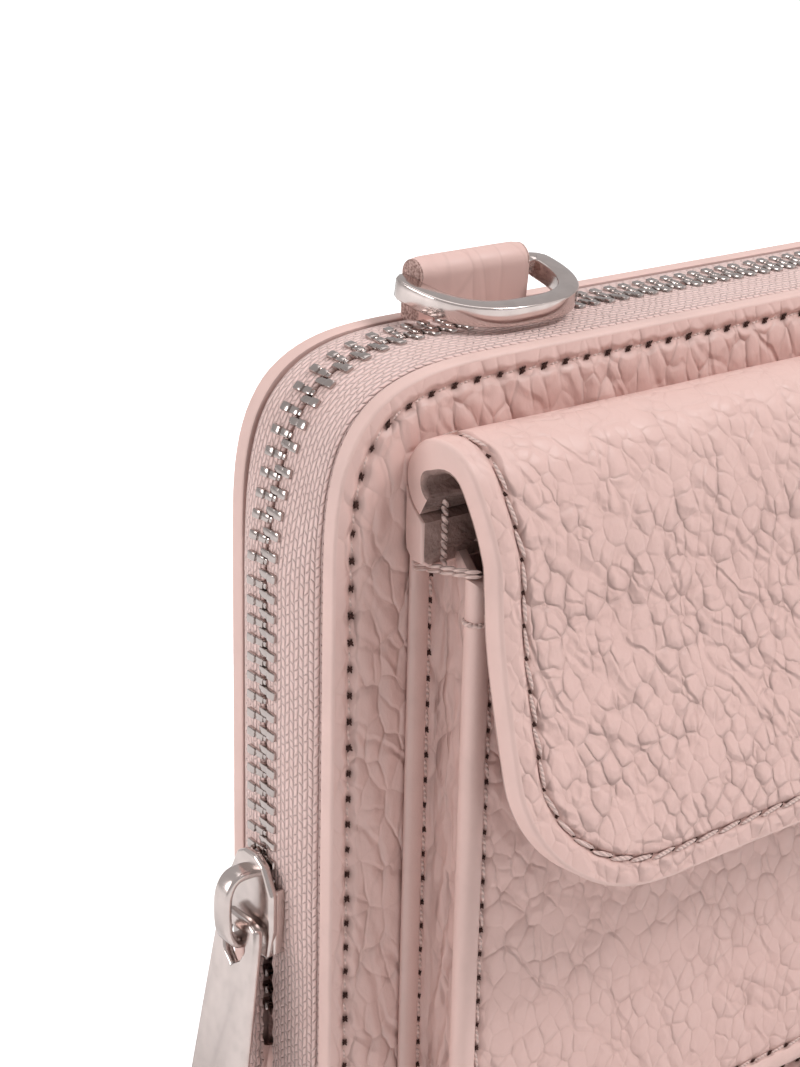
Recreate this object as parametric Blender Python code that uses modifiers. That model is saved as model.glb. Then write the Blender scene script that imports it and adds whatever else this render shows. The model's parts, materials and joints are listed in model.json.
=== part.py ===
"""Crossbody wallet of pebbled leather, with a zip round three sides, a front flap pocket and two D-rings.

Metres, +Z up. The origin is the centre of the base, on the plane of the zip. The front faces -Y.
Each piece is one object. The two shells are hinged at the front edge of the base.
"""
import math

import bmesh
import bpy
from mathutils import Matrix, Vector

# Running and seating clearances
GAP = 0.0003
OVERRUN = 0.002
WELD = 0.00001
ROUND_STEPS = 5

# Case outline
CASE_WIDTH = 0.198
CASE_HEIGHT = 0.125
CORNER_REACH = 0.0272
CORNER_POWER = 3.6
CORNER_STEPS = 9

# Panels
PANEL_THICK = 0.0024
PANEL_EDGE_ROUND = 0.0005
FRONT_GUSSET = 0.0096
BACK_GUSSET = 0.0070
TURNED_RIM = 0.006
RECESS_DEPTH = 0.0011
BOARD_THICK = 0.0005
LINING_THICK = 0.0005
LINING_INSET = 0.0035

# Zip tape: how far it stands out from the panel's outline at the panel, on its shoulder and at the teeth
TAPE_THICK = 0.0006
TAPE_ROOT_OUT = -0.0022
TAPE_SHOULDER_OUT = 0.0004
TAPE_TEETH_OUT = 0.0010
TAPE_SHOULDER_SHARE = 0.32
ZIP_END_ABOVE_CORNER = 0.0018

# Zip teeth: a number five metal chain
TOOTH_PITCH = 0.00254
TOOTH_LENGTH = 0.0012
TOOTH_THICK = 0.0018
TEETH_OUT = 0.0004
CHAIN_HALF_WIDTH = 0.0030
TOOTH_ROOT = 0.0022
ROW_CLEARANCE = 0.00075
STOP_LENGTH = 0.0026

# Base
SPINE_THICK = 0.0014
BELLOWS_DEPTH = 0.009
BELLOWS_THICK = 0.0010

# Tabs and D-rings
RING_INSET = 0.0326
RING_WIDTH = 0.0240
RING_REACH = 0.0130
RING_POWER = 2.7
RING_BAND = 0.0026
RING_DEEP = 0.0026
RING_BAR = 0.0014
RING_EDGE_ROUND = 0.0004
RING_HEIGHT = 0.0056
RING_SETBACK = 0.0056
RING_TILT = math.radians(12)
RING_STEPS = 18
TAB_SIDE_PLAY = 0.0008
TAB_WALL = 0.0007
TAB_BORE_PLAY = 0.0001
TAB_TAIL = 0.0007
TAB_DEPTH = 0.0044
TAB_STEPS = 16

# Zip slider and puller
SLIDER_DROP = 0.0695
SLIDER_LENGTH = 0.0135
SLIDER_WIDTH = 0.0094
SLIDER_NOSE = 0.0040
SLIDER_PLATE = 0.0012
SLIDER_INNER_WIDTH = 0.0070
POST_LENGTH = 0.0034
BAIL_WIDTH = 0.0030
BAIL_LENGTH = 0.0104
BAIL_RISE = 0.0043
BAIL_WALL = 0.0011
PULLER_LENGTH = 0.034
PULLER_TOP_WIDTH = 0.0090
PULLER_END_WIDTH = 0.0114
PULLER_THICK = 0.0015
PULLER_WINDOW = 0.0046
PULLER_BAR = 0.0014
PULLER_TILT = math.radians(9)

# Front pocket
POCKET_INSET = 0.0133
POCKET_BOTTOM = 0.012
POCKET_MOUTH_DROP = 0.0236
POCKET_DEPTH = 0.0062
POCKET_CORNER = 0.009
POCKET_FRONT_THICK = 0.0024
POCKET_EDGE_ROUND = 0.0009
FLANGE_WIDTH = 0.0050
POCKET_WALL = 0.0010
POCKET_WALL_INSET = 0.0006

# Flap
FLAP_INSET = 0.0112
FLAP_LEG_INSET = 0.0099
FLAP_THICK = 0.0024
FLAP_EDGE_ROUND = 0.0009
FLAP_ROLL = 0.0048
ROLL_STEPS = 8
BEND_STEPS = 4
FLAP_TOP_DROP = 0.0076
FLAP_BOTTOM_DROP = 0.0636
FLAP_LEAN = math.radians(14)
FLAP_BEND = 0.060
FLAP_CORNER_ACROSS = 0.026
FLAP_CORNER_ALONG = 0.019
FLAP_LEG_DROP = 0.0230
FLAP_LINING_INSET = 0.0040

# Magnetic snap
SNAP_DROP = 0.0560
SNAP_RADIUS = 0.0062
SNAP_SOCKET_THICK = 0.0024
SNAP_NUB_RADIUS = 0.0028
SNAP_NUB_HEIGHT = 0.0010

# Inside
CARD_SIDE_INSET = 0.011
CARD_HEIGHT = 0.050
CARD_STEP = 0.012
CARD_BASE = 0.012
CARD_BANK_GAP = 0.004
CARD_SLOTS = 3
CARD_LEATHER = 0.0006
CARD_RIM = 0.0035
CARD_SPACE = 0.0009
SLIP_SIDE_INSET = 0.013
SLIP_HEIGHT = 0.080
SLIP_BASE = 0.012
SLIP_SPACE = 0.0012
SLIP_LEATHER = 0.0007
SLIP_RIM = 0.004

# Places that follow from the sizes
TAB_WIDTH = RING_WIDTH - 2 * (RING_BAND + TAB_SIDE_PLAY)
TAB_BORE = math.hypot(RING_BAR, RING_DEEP) / 2 + TAB_BORE_PLAY
HALF_WIDTH = CASE_WIDTH / 2
ZIP_END_HEIGHT = CORNER_REACH + ZIP_END_ABOVE_CORNER
RING_CENTRE = HALF_WIDTH - RING_INSET
POCKET_HALF_WIDTH = HALF_WIDTH - POCKET_INSET
FLAP_HALF_WIDTH = HALF_WIDTH - FLAP_INSET
SNAP_HEIGHT = CASE_HEIGHT - SNAP_DROP
CARD_WIDTH = HALF_WIDTH - CARD_SIDE_INSET - CARD_BANK_GAP / 2
SLIP_HALF_WIDTH = HALF_WIDTH - SLIP_SIDE_INSET
FRONT_INNER = -FRONT_GUSSET
FRONT_FACE = FRONT_INNER - PANEL_THICK
BACK_INNER = BACK_GUSSET
BACK_FACE = BACK_INNER + PANEL_THICK
RING_AXIS_HEIGHT = CASE_HEIGHT + RING_HEIGHT
SLIDER_CENTRE = CASE_HEIGHT - SLIDER_DROP
TEETH_TOP = TEETH_OUT + TOOTH_THICK
SLIDER_INNER_FACE = HALF_WIDTH + TEETH_TOP + GAP
SLIDER_OUTER_FACE = SLIDER_INNER_FACE + SLIDER_PLATE
PULLER_AXIS_OUT = SLIDER_OUTER_FACE + GAP + PULLER_BAR / 2 + GAP
PULLER_AXIS_HEIGHT = SLIDER_CENTRE - BAIL_LENGTH / 2 + BAIL_WALL + PULLER_BAR
POCKET_MOUTH = CASE_HEIGHT - POCKET_MOUTH_DROP
POCKET_INNER = FRONT_FACE - GAP - POCKET_DEPTH
POCKET_OUTER = POCKET_INNER - GAP - POCKET_FRONT_THICK
ROLL_HEIGHT = CASE_HEIGHT - FLAP_TOP_DROP - FLAP_ROLL
ROLL_Y = FRONT_FACE - GAP - FLAP_ROLL
FRONT_LINING_FACE = FRONT_INNER + GAP + LINING_THICK
BACK_LINING_FACE = BACK_INNER - GAP - LINING_THICK


def clear_scene():
    for item in list(bpy.data.objects):
        bpy.data.objects.remove(item)
    for group in list(bpy.data.collections):
        bpy.data.collections.remove(group)


def new_collection(name):
    group = bpy.data.collections.new(name)
    bpy.context.scene.collection.children.link(group)
    return group


clear_scene()
WALLET = new_collection("crossbody_wallet")
CUTTERS = new_collection("cutters")
UPRIGHT = Matrix.Rotation(math.pi / 2, 4, "X")
SIDEWAYS = Matrix.Rotation(math.pi / 2, 4, "Z") @ UPRIGHT


def finish_material(name, colour, roughness, metallic):
    made = bpy.data.materials.new(name)
    made.use_nodes = True
    shader = made.node_tree.nodes["Principled BSDF"]
    shader.inputs["Base Color"].default_value = (*colour, 1.0)
    shader.inputs["Roughness"].default_value = roughness
    shader.inputs["Metallic"].default_value = metallic
    return made


LEATHER = ((0.66, 0.45, 0.41), 0.55, 0.0)
LINING = ((0.45, 0.28, 0.26), 0.8, 0.0)
TAPE = ((0.70, 0.46, 0.42), 0.85, 0.0)
NICKEL = ((0.62, 0.60, 0.59), 0.22, 1.0)
BOARD = ((0.35, 0.33, 0.30), 0.8, 0.0)


def body_empty(name, place, parent=None):
    """The empty that a moving body's pieces hang on, with its origin on the joint's axis."""
    empty = bpy.data.objects.new(name, None)
    WALLET.objects.link(empty)
    empty.matrix_world = Matrix.Translation(place)
    if parent is not None:
        empty.parent = parent
        empty.matrix_parent_inverse = parent.matrix_world.inverted()
        empty.location = place
    bpy.context.view_layer.update()
    return empty


def place_piece(piece, body, look, smooth=True):
    """Gives a piece its material and shading, and hangs it on its body."""
    piece.data.materials.clear()
    piece.data.materials.append(finish_material(piece.name, *look))
    if smooth:
        piece.data.shade_smooth()
        piece.data.set_sharp_from_angle(angle=math.radians(35))
    world = piece.matrix_world.copy()
    piece.parent = body
    piece.matrix_parent_inverse = body.matrix_world.inverted()
    piece.matrix_world = world
    return piece


def mesh_object(name, mesh, placing, group):
    made = bpy.data.objects.new(name, mesh)
    group.objects.link(made)
    made.matrix_world = placing
    return made


def curve_to_mesh(curve_object, name, placing, group):
    """Turns a curve into a closed mesh with its caps welded on."""
    bpy.context.view_layer.update()
    depsgraph = bpy.context.evaluated_depsgraph_get()
    mesh = bpy.data.meshes.new_from_object(curve_object.evaluated_get(depsgraph))
    bm = bmesh.new()
    bm.from_mesh(mesh)
    bmesh.ops.remove_doubles(bm, verts=bm.verts, dist=WELD)
    bmesh.ops.recalc_face_normals(bm, faces=bm.faces)
    bm.to_mesh(mesh)
    bm.free()
    mesh.name = name
    made = mesh_object(name, mesh, placing, group)
    bpy.data.objects.remove(curve_object)
    return made


def outline_solid(name, loops, thickness, placing, group=None):
    """A flat outline, with any holes after it, given its thickness along the placing's local Z."""
    curve = bpy.data.curves.new(name + "_outline", "CURVE")
    curve.dimensions = "2D"
    curve.fill_mode = "BOTH"
    curve.extrude = thickness / 2
    for loop in loops:
        spline = curve.splines.new("POLY")
        spline.points.add(len(loop) - 1)
        for point, (across, up) in zip(spline.points, loop):
            point.co = (across, up, 0, 1)
        spline.use_cyclic_u = True
    holder = mesh_object(name + "_outline", curve, Matrix(), group or WALLET)
    return curve_to_mesh(holder, name, placing, group or WALLET)


def swept_solid(name, path, section, placing, group=None):
    """A closed section carried along an open flat path. Section points are (to the path's right, along Z)."""
    shape = bpy.data.curves.new(name + "_section", "CURVE")
    shape.dimensions = "2D"
    spline = shape.splines.new("POLY")
    spline.points.add(len(section) - 1)
    for point, (across, up) in zip(spline.points, section):
        point.co = (across, up, 0, 1)
    spline.use_cyclic_u = True
    section_object = mesh_object(name + "_section", shape, Matrix(), CUTTERS)

    curve = bpy.data.curves.new(name + "_path", "CURVE")
    curve.dimensions = "2D"
    curve.fill_mode = "NONE"
    curve.bevel_mode = "OBJECT"
    curve.bevel_object = section_object
    curve.use_fill_caps = True
    spline = curve.splines.new("POLY")
    spline.points.add(len(path) - 1)
    for point, (across, up) in zip(spline.points, path):
        point.co = (across, up, 0, 1)
    holder = mesh_object(name + "_path", curve, Matrix(), group or WALLET)
    made = curve_to_mesh(holder, name, placing, group or WALLET)
    bpy.data.objects.remove(section_object)
    return made


def box(name, low, high, group=None):
    """A box between two corners."""
    bm = bmesh.new()
    bmesh.ops.create_cube(bm, size=1.0)
    low, high = Vector(low), Vector(high)
    size = high - low
    bmesh.ops.scale(bm, vec=size, verts=bm.verts)
    mesh = bpy.data.meshes.new(name)
    bm.to_mesh(mesh)
    bm.free()
    return mesh_object(name, mesh, Matrix.Translation((low + high) / 2), group or WALLET)


def cylinder(name, radius, depth, placing, group=None, sides=28):
    """A round bar centred on the placing, along its local Z."""
    bm = bmesh.new()
    bmesh.ops.create_cone(bm, cap_ends=True, segments=sides, radius1=radius, radius2=radius, depth=depth)
    mesh = bpy.data.meshes.new(name)
    bm.to_mesh(mesh)
    bm.free()
    return mesh_object(name, mesh, placing, group or WALLET)


def bevel(piece, width, segments=1, angle=40):
    modifier = piece.modifiers.new("rounded_edges", "BEVEL")
    modifier.width = width
    modifier.segments = segments
    modifier.limit_method = "ANGLE"
    modifier.angle_limit = math.radians(angle)


def boolean(piece, other, operation):
    other.hide_render = True
    other.display_type = "WIRE"
    modifier = piece.modifiers.new(operation.lower(), "BOOLEAN")
    modifier.operation = operation
    modifier.solver = "EXACT"
    modifier.object = other


def at_depth(y):
    """Places an upright outline at a depth."""
    return Matrix.Translation((0, y, 0)) @ UPRIGHT


def corner_arc(centre, reach, power, start, steps, offset):
    """A quarter of a rounded corner, counter-clockwise from the start angle, moved out by the offset."""
    points = []
    for step in range(steps + 1):
        angle = start + step * math.pi / 2 / steps
        across, up = math.cos(angle), math.sin(angle)
        radius = (abs(across) ** power + abs(up) ** power) ** (-1 / power)
        normal = Vector((math.copysign(abs(radius * across) ** (power - 1), across),
                         math.copysign(abs(radius * up) ** (power - 1), up))).normalized()
        points.append((centre[0] + reach * radius * across + offset * normal.x,
                       centre[1] + reach * radius * up + offset * normal.y))
    return points


def rounded_outline(left, right, bottom, top, reach, offset=0.0, power=2.0, steps=ROUND_STEPS, square_top=False):
    """A closed outline with four rounded corners, or two where the top is square."""
    corners = [((right - reach, bottom + reach), -math.pi / 2), ((right - reach, top - reach), 0.0),
               ((left + reach, top - reach), math.pi / 2), ((left + reach, bottom + reach), math.pi)]
    points = []
    for index, (centre, start) in enumerate(corners):
        if square_top and index == 1:
            points.append((right + offset, top + offset))
        elif square_top and index == 2:
            points.append((left - offset, top + offset))
        else:
            points += corner_arc(centre, reach, power, start, steps, offset)
    return points


def case_outline(offset=0.0):
    return rounded_outline(-HALF_WIDTH, HALF_WIDTH, 0.0, CASE_HEIGHT, CORNER_REACH, offset,
                           CORNER_POWER, CORNER_STEPS)


def zip_path(steps=CORNER_STEPS):
    """The case's outline from the zip's right end, up, over the top and down to its left end."""
    inner = HALF_WIDTH - CORNER_REACH
    centre_height = CASE_HEIGHT - CORNER_REACH
    right = corner_arc((inner, centre_height), CORNER_REACH, CORNER_POWER, 0.0, steps, 0.0)
    left = corner_arc((-inner, centre_height), CORNER_REACH, CORNER_POWER, math.pi / 2, steps, 0.0)
    return [(HALF_WIDTH, ZIP_END_HEIGHT)] + right + left + [(-HALF_WIDTH, ZIP_END_HEIGHT)]


def base_corner_path(side):
    """The case's outline round one lower corner, between the spine strip and the zip's end."""
    centre = (side * (HALF_WIDTH - CORNER_REACH), CORNER_REACH)
    start = -math.pi / 2 if side > 0 else math.pi
    arc = corner_arc(centre, CORNER_REACH, CORNER_POWER, start, CORNER_STEPS, 0.0)
    end = (side * HALF_WIDTH, ZIP_END_HEIGHT - GAP)
    if side > 0:
        arc[0] = (arc[0][0] + GAP, arc[0][1])
        return arc + [end]
    arc[-1] = (arc[-1][0] - GAP, arc[-1][1])
    return [end] + arc


def make_panel(name, inner, outward, body, slots=()):
    """A turned-edge leather panel: its board's recess opens to the inside, and the tabs' slots to the top."""
    middle = inner + outward * PANEL_THICK / 2
    panel = outline_solid(name, [case_outline()], PANEL_THICK, at_depth(middle))
    bevel(panel, PANEL_EDGE_ROUND)
    cut_middle = inner + outward * (RECESS_DEPTH - OVERRUN) / 2
    recess = outline_solid(name + "_recess", [case_outline(-TURNED_RIM)], RECESS_DEPTH + OVERRUN,
                           at_depth(cut_middle), CUTTERS)
    boolean(panel, recess, "DIFFERENCE")
    for slot in slots:
        boolean(panel, slot, "DIFFERENCE")
    return place_piece(panel, body, LEATHER)


def make_board(name, inner, outward, body):
    middle = inner + outward * (RECESS_DEPTH - GAP - BOARD_THICK / 2)
    board = outline_solid(name, [case_outline(-TURNED_RIM - GAP)], BOARD_THICK, at_depth(middle))
    return place_piece(board, body, BOARD)


def make_lining(name, inner, outward, body):
    middle = inner - outward * (GAP + LINING_THICK / 2)
    lining = outline_solid(name, [case_outline(-LINING_INSET)], LINING_THICK, at_depth(middle))
    return place_piece(lining, body, LINING)


def strip_section(points, thickness):
    """The closed section of a strip: its outer points, then the same points set back by its thickness."""
    normals = []
    for index in range(len(points)):
        before = Vector(points[max(index - 1, 0)])
        after = Vector(points[min(index + 1, len(points) - 1)])
        run = (after - before).normalized()
        normals.append(Vector((-run.y, run.x)))
    inside = [tuple(Vector(point) - normal * thickness) for point, normal in zip(points, normals)]
    return list(points) + inside[::-1]


def make_tape(name, gusset, outward, body):
    """Half of the zip's woven tape: it rises from the panel's edge to the teeth in a dome."""
    near_panel = gusset - GAP
    at_teeth = CHAIN_HALF_WIDTH + GAP
    shoulder = near_panel + (at_teeth - near_panel) * TAPE_SHOULDER_SHARE
    middle = (shoulder + at_teeth) / 2
    crest = TAPE_TEETH_OUT + TAPE_THICK
    dome = [(TAPE_ROOT_OUT, near_panel), (TAPE_SHOULDER_OUT, shoulder),
            ((TAPE_SHOULDER_OUT + crest) / 2 + TAPE_THICK / 2, middle), (crest, at_teeth)]
    section = strip_section(dome, TAPE_THICK)
    section = [(across, -outward * depth) for across, depth in section]
    tape = swept_solid(name, zip_path(), section, at_depth(0))
    return place_piece(tape, body, TAPE)


def station_along(path, distance):
    """The point, and the outward normal, at a distance along a path."""
    walked = 0.0
    for start, end in zip(path, path[1:]):
        start, end = Vector(start), Vector(end)
        length = (end - start).length
        if walked + length >= distance or end == Vector(path[-1]):
            run = (end - start).normalized()
            return start + run * (distance - walked), Vector((run.y, -run.x))
        walked += length


def path_length(path):
    return sum((Vector(b) - Vector(a)).length for a, b in zip(path, path[1:]))


def make_teeth(name, outward, body):
    """One row of teeth along the tape's corded edge, as a bent comb."""
    path = zip_path(CORNER_STEPS * 4)
    length = path_length(path)
    free = length - 2 * (STOP_LENGTH + GAP) - TOOTH_LENGTH
    count = int(free / TOOTH_PITCH)
    first = (length - count * TOOTH_PITCH - TOOTH_LENGTH) / 2
    bm = bmesh.new()
    pairs = []
    for tooth in range(count + 1):
        for along in (first + tooth * TOOTH_PITCH, first + tooth * TOOTH_PITCH + TOOTH_LENGTH):
            point, normal = station_along(path, along)
            seat = point + normal * TEETH_OUT
            pairs.append([bm.verts.new((seat.x, outward * depth, seat.y))
                          for depth in (CHAIN_HALF_WIDTH, TOOTH_ROOT)])
    roots = []
    for index in range(len(pairs) - 1):
        (a, b), (c, d) = pairs[index], pairs[index + 1]
        bm.faces.new((a, b, d, c))
        if index % 2 == 0:
            roots.append(bm.edges.get((b, d)))
    for root in roots:
        grown = bmesh.ops.extrude_edge_only(bm, edges=[root])["geom"]
        tips = [item for item in grown if isinstance(item, bmesh.types.BMVert)]
        bmesh.ops.translate(bm, verts=tips, vec=(0, outward * (ROW_CLEARANCE - TOOTH_ROOT), 0))
    bmesh.ops.recalc_face_normals(bm, faces=bm.faces)
    bm.faces.ensure_lookup_table()
    if bm.faces[0].normal.x < 0:
        bmesh.ops.reverse_faces(bm, faces=bm.faces)
    mesh = bpy.data.meshes.new(name)
    bm.to_mesh(mesh)
    bm.free()
    row = mesh_object(name, mesh, Matrix(), WALLET)
    thicken = row.modifiers.new("tooth_thickness", "SOLIDIFY")
    thicken.thickness = TOOTH_THICK
    thicken.offset = 1.0
    return place_piece(row, body, NICKEL, smooth=False)


def make_stop(name, side, low, high, body):
    """A small clamp at an end of the zip, from one depth to another."""
    outer, inner = side * (HALF_WIDTH + TEETH_TOP), side * (HALF_WIDTH + TEETH_OUT)
    stop = box(name, (min(outer, inner), low, ZIP_END_HEIGHT),
               (max(outer, inner), high, ZIP_END_HEIGHT + STOP_LENGTH))
    bevel(stop, PANEL_EDGE_ROUND / 2)
    return place_piece(stop, body, NICKEL)


def make_spine(body):
    end = HALF_WIDTH - CORNER_REACH
    spine = box("spine_strip", (-end, FRONT_INNER + GAP, 0.0), (end, BACK_INNER - GAP, SPINE_THICK))
    return place_piece(spine, body, LEATHER, smooth=False)


def make_bellows(name, side, body):
    """The soft end of the gusset, folded inwards between the panels round a lower corner."""
    front, back = -FRONT_INNER - GAP, -BACK_INNER + GAP
    middle = (front + back) / 2
    section = [(0.0, front), (-BELLOWS_DEPTH, middle), (0.0, back), (-BELLOWS_THICK, back),
               (-BELLOWS_DEPTH - BELLOWS_THICK, middle), (-BELLOWS_THICK, front)]
    bellows = swept_solid(name, base_corner_path(side), section, at_depth(0))
    return place_piece(bellows, body, LEATHER)


def tab_slot(name, centre):
    """The notch in the back panel's inner face, at its top edge, that takes a tab's tail."""
    half = TAB_WIDTH / 2 + GAP
    return box(name, (centre - half, BACK_INNER - OVERRUN, CASE_HEIGHT - TAB_DEPTH - GAP),
               (centre + half, BACK_INNER + TAB_TAIL + GAP, CASE_HEIGHT + OVERRUN), CUTTERS)


def make_tab(name, centre, body):
    """A leather tab rolled round its ring's bar, with a tail let into the back panel's edge."""
    outer = TAB_BORE + TAB_WALL
    left, right = BACK_INNER - RING_SETBACK, BACK_INNER + TAB_TAIL - RING_SETBACK
    tail_low = CASE_HEIGHT - TAB_DEPTH - RING_AXIS_HEIGHT
    start = math.atan2(-math.sqrt(outer ** 2 - right ** 2), right)
    end = math.atan2(-math.sqrt(outer ** 2 - left ** 2), left) + 2 * math.pi
    loop = [(outer * math.cos(start + (end - start) * step / TAB_STEPS),
             outer * math.sin(start + (end - start) * step / TAB_STEPS)) for step in range(TAB_STEPS + 1)]
    loop += [(left, tail_low), (right, tail_low)]
    bore = [(TAB_BORE * math.cos(2 * math.pi * step / TAB_STEPS),
             TAB_BORE * math.sin(2 * math.pi * step / TAB_STEPS)) for step in range(TAB_STEPS)]
    placing = Matrix.Translation((centre, RING_SETBACK, RING_AXIS_HEIGHT)) @ SIDEWAYS
    tab = outline_solid(name, [loop, bore], TAB_WIDTH, placing)
    return place_piece(tab, body, LEATHER)


def ring_loop(half_width, reach, back):
    """One closed outline of the D, from its bar round the front."""
    points = [(half_width, back)]
    for step in range(RING_STEPS + 1):
        angle = math.pi * step / RING_STEPS
        across, along = math.cos(angle), math.sin(angle)
        radius = (abs(across) ** RING_POWER + along ** RING_POWER) ** (-1 / RING_POWER)
        points.append((half_width * radius * across, -reach * radius * along))
    return points + [(-half_width, back)]


def make_ring(name, centre, body):
    """A flat-band D-ring lying forward, with its bar along X through the tab's roll."""
    outer = ring_loop(RING_WIDTH / 2, RING_REACH, RING_BAR / 2)
    inner = [(across, min(along, -RING_BAR / 2)) for across, along
             in ring_loop(RING_WIDTH / 2 - RING_BAND, RING_REACH - RING_BAND, 0.0)[1:-1]]
    placing = (Matrix.Translation((centre, RING_SETBACK, RING_AXIS_HEIGHT))
               @ Matrix.Rotation(RING_TILT, 4, "X"))
    ring = outline_solid(name, [outer, inner], RING_DEEP, placing)
    bevel(ring, RING_EDGE_ROUND)
    return place_piece(ring, body, NICKEL)


def make_slider(body):
    """The zip slider: two plates joined by a post between the rows, with the bail on the outer one."""
    half, nose = SLIDER_LENGTH / 2, SLIDER_LENGTH / 2 - SLIDER_NOSE
    wide = SLIDER_WIDTH / 2
    plate = [(-wide, -half), (wide, -half), (wide, nose), (wide / 2, half), (-wide / 2, half), (-wide, nose)]
    facing_side = Matrix.Rotation(-math.pi / 2, 4, "Z") @ UPRIGHT

    def outward(distance):
        return Matrix.Translation((-distance, 0, SLIDER_CENTRE)) @ facing_side

    slider = outline_solid("slider", [plate], SLIDER_PLATE,
                           outward(SLIDER_INNER_FACE + SLIDER_PLATE / 2))
    bevel(slider, RING_EDGE_ROUND)
    inner_face = HALF_WIDTH + TEETH_OUT - GAP
    inner_wide = SLIDER_INNER_WIDTH / 2
    inner_plate = [(-inner_wide, -half), (inner_wide, -half), (inner_wide, nose), (wide / 2, half),
                   (-wide / 2, half), (-inner_wide, nose)]
    under = outline_solid("slider_under_plate", [inner_plate], SLIDER_PLATE,
                          outward(inner_face - SLIDER_PLATE / 2), CUTTERS)
    post_half = ROW_CLEARANCE - GAP
    foot = SLIDER_CENTRE - half + RING_EDGE_ROUND
    post = box("slider_post", (-SLIDER_INNER_FACE - SLIDER_PLATE / 2, -post_half, foot),
               (-inner_face + SLIDER_PLATE / 2, post_half, foot + POST_LENGTH), CUTTERS)
    rise = SLIDER_PLATE / 2 + BAIL_RISE
    low, high = -BAIL_LENGTH / 2, BAIL_LENGTH / 2
    slope = BAIL_RISE / 2
    arch = [(0.0, low), (rise - slope, low), (rise, low + slope), (rise, high - slope), (rise - slope, high),
            (0.0, high), (0.0, high - BAIL_WALL), (rise - slope, high - BAIL_WALL),
            (rise - BAIL_WALL, high - slope - BAIL_WALL / 2), (rise - BAIL_WALL, low + slope + BAIL_WALL / 2),
            (rise - slope, low + BAIL_WALL), (0.0, low + BAIL_WALL)]
    side_on = Matrix.Translation((-SLIDER_INNER_FACE - SLIDER_PLATE / 2, 0, SLIDER_CENTRE)) @ UPRIGHT
    bail = outline_solid("slider_bail", [[(-out, up) for out, up in arch]], BAIL_WIDTH, side_on, CUTTERS)
    for other in (under, post, bail):
        boolean(slider, other, "UNION")
    return place_piece(slider, body, NICKEL)


def make_puller(body):
    """The puller: a tapered bar with a window, whose top bar turns inside the bail."""
    top, end = PULLER_TOP_WIDTH / 2, PULLER_END_WIDTH / 2
    bar = PULLER_BAR / 2
    length = PULLER_LENGTH
    round_end = PULLER_THICK
    outline = [(-top, bar / 2), (-top + bar, bar), (top - bar, bar), (top, bar / 2),
               (end, -length + round_end), (end - round_end, -length), (-end + round_end, -length),
               (-end, -length + round_end)]
    window = [(-PULLER_WINDOW / 2, -bar), (PULLER_WINDOW / 2, -bar),
              (PULLER_WINDOW / 2, -bar - PULLER_WINDOW), (-PULLER_WINDOW / 2, -bar - PULLER_WINDOW)]
    placing = (Matrix.Translation((-PULLER_AXIS_OUT, 0, PULLER_AXIS_HEIGHT))
               @ Matrix.Rotation(PULLER_TILT, 4, "Y") @ Matrix.Rotation(-math.pi / 2, 4, "Z") @ UPRIGHT)
    puller = outline_solid("puller", [outline, window], PULLER_THICK, placing)
    bevel(puller, PULLER_THICK / 5)
    return place_piece(puller, body, NICKEL)


def make_pocket(body):
    """The pleated front pocket: a gusset with a sewn flange, a front with a rolled edge, and its lining."""
    wall = POCKET_HALF_WIDTH - POCKET_WALL_INSET
    low = POCKET_BOTTOM + POCKET_WALL_INSET
    right = corner_arc((wall - POCKET_CORNER, low + POCKET_CORNER), POCKET_CORNER, 2.0, -math.pi / 2, ROUND_STEPS, 0.0)
    left = corner_arc((-wall + POCKET_CORNER, low + POCKET_CORNER), POCKET_CORNER, 2.0, math.pi, ROUND_STEPS, 0.0)
    path = [(-wall, POCKET_MOUTH)] + left + right + [(wall, POCKET_MOUTH)]
    face = -FRONT_FACE + GAP
    front = face + POCKET_DEPTH
    section = [(FLANGE_WIDTH - POCKET_WALL, face), (FLANGE_WIDTH - POCKET_WALL, face + POCKET_WALL),
               (0.0, face + POCKET_WALL), (0.0, front), (-POCKET_WALL, front), (-POCKET_WALL, face)]
    gusset = swept_solid("pocket_gusset", path, section, at_depth(0))
    place_piece(gusset, body, LEATHER)

    outline = rounded_outline(-POCKET_HALF_WIDTH, POCKET_HALF_WIDTH, POCKET_BOTTOM, POCKET_MOUTH,
                              POCKET_CORNER, square_top=True)
    middle = (POCKET_INNER - GAP + POCKET_OUTER) / 2
    panel = outline_solid("pocket_front", [outline], POCKET_FRONT_THICK, at_depth(middle))
    bevel(panel, POCKET_EDGE_ROUND, segments=2)
    place_piece(panel, body, LEATHER)

    inset = POCKET_WALL_INSET + POCKET_WALL + GAP
    outline = rounded_outline(-POCKET_HALF_WIDTH + inset, POCKET_HALF_WIDTH - inset, POCKET_BOTTOM + inset,
                              POCKET_MOUTH - FLANGE_WIDTH, POCKET_CORNER - inset, square_top=True)
    middle = POCKET_INNER + LINING_THICK / 2
    lining = outline_solid("pocket_lining", [outline], LINING_THICK, at_depth(middle))
    place_piece(lining, body, LINING)


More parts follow.
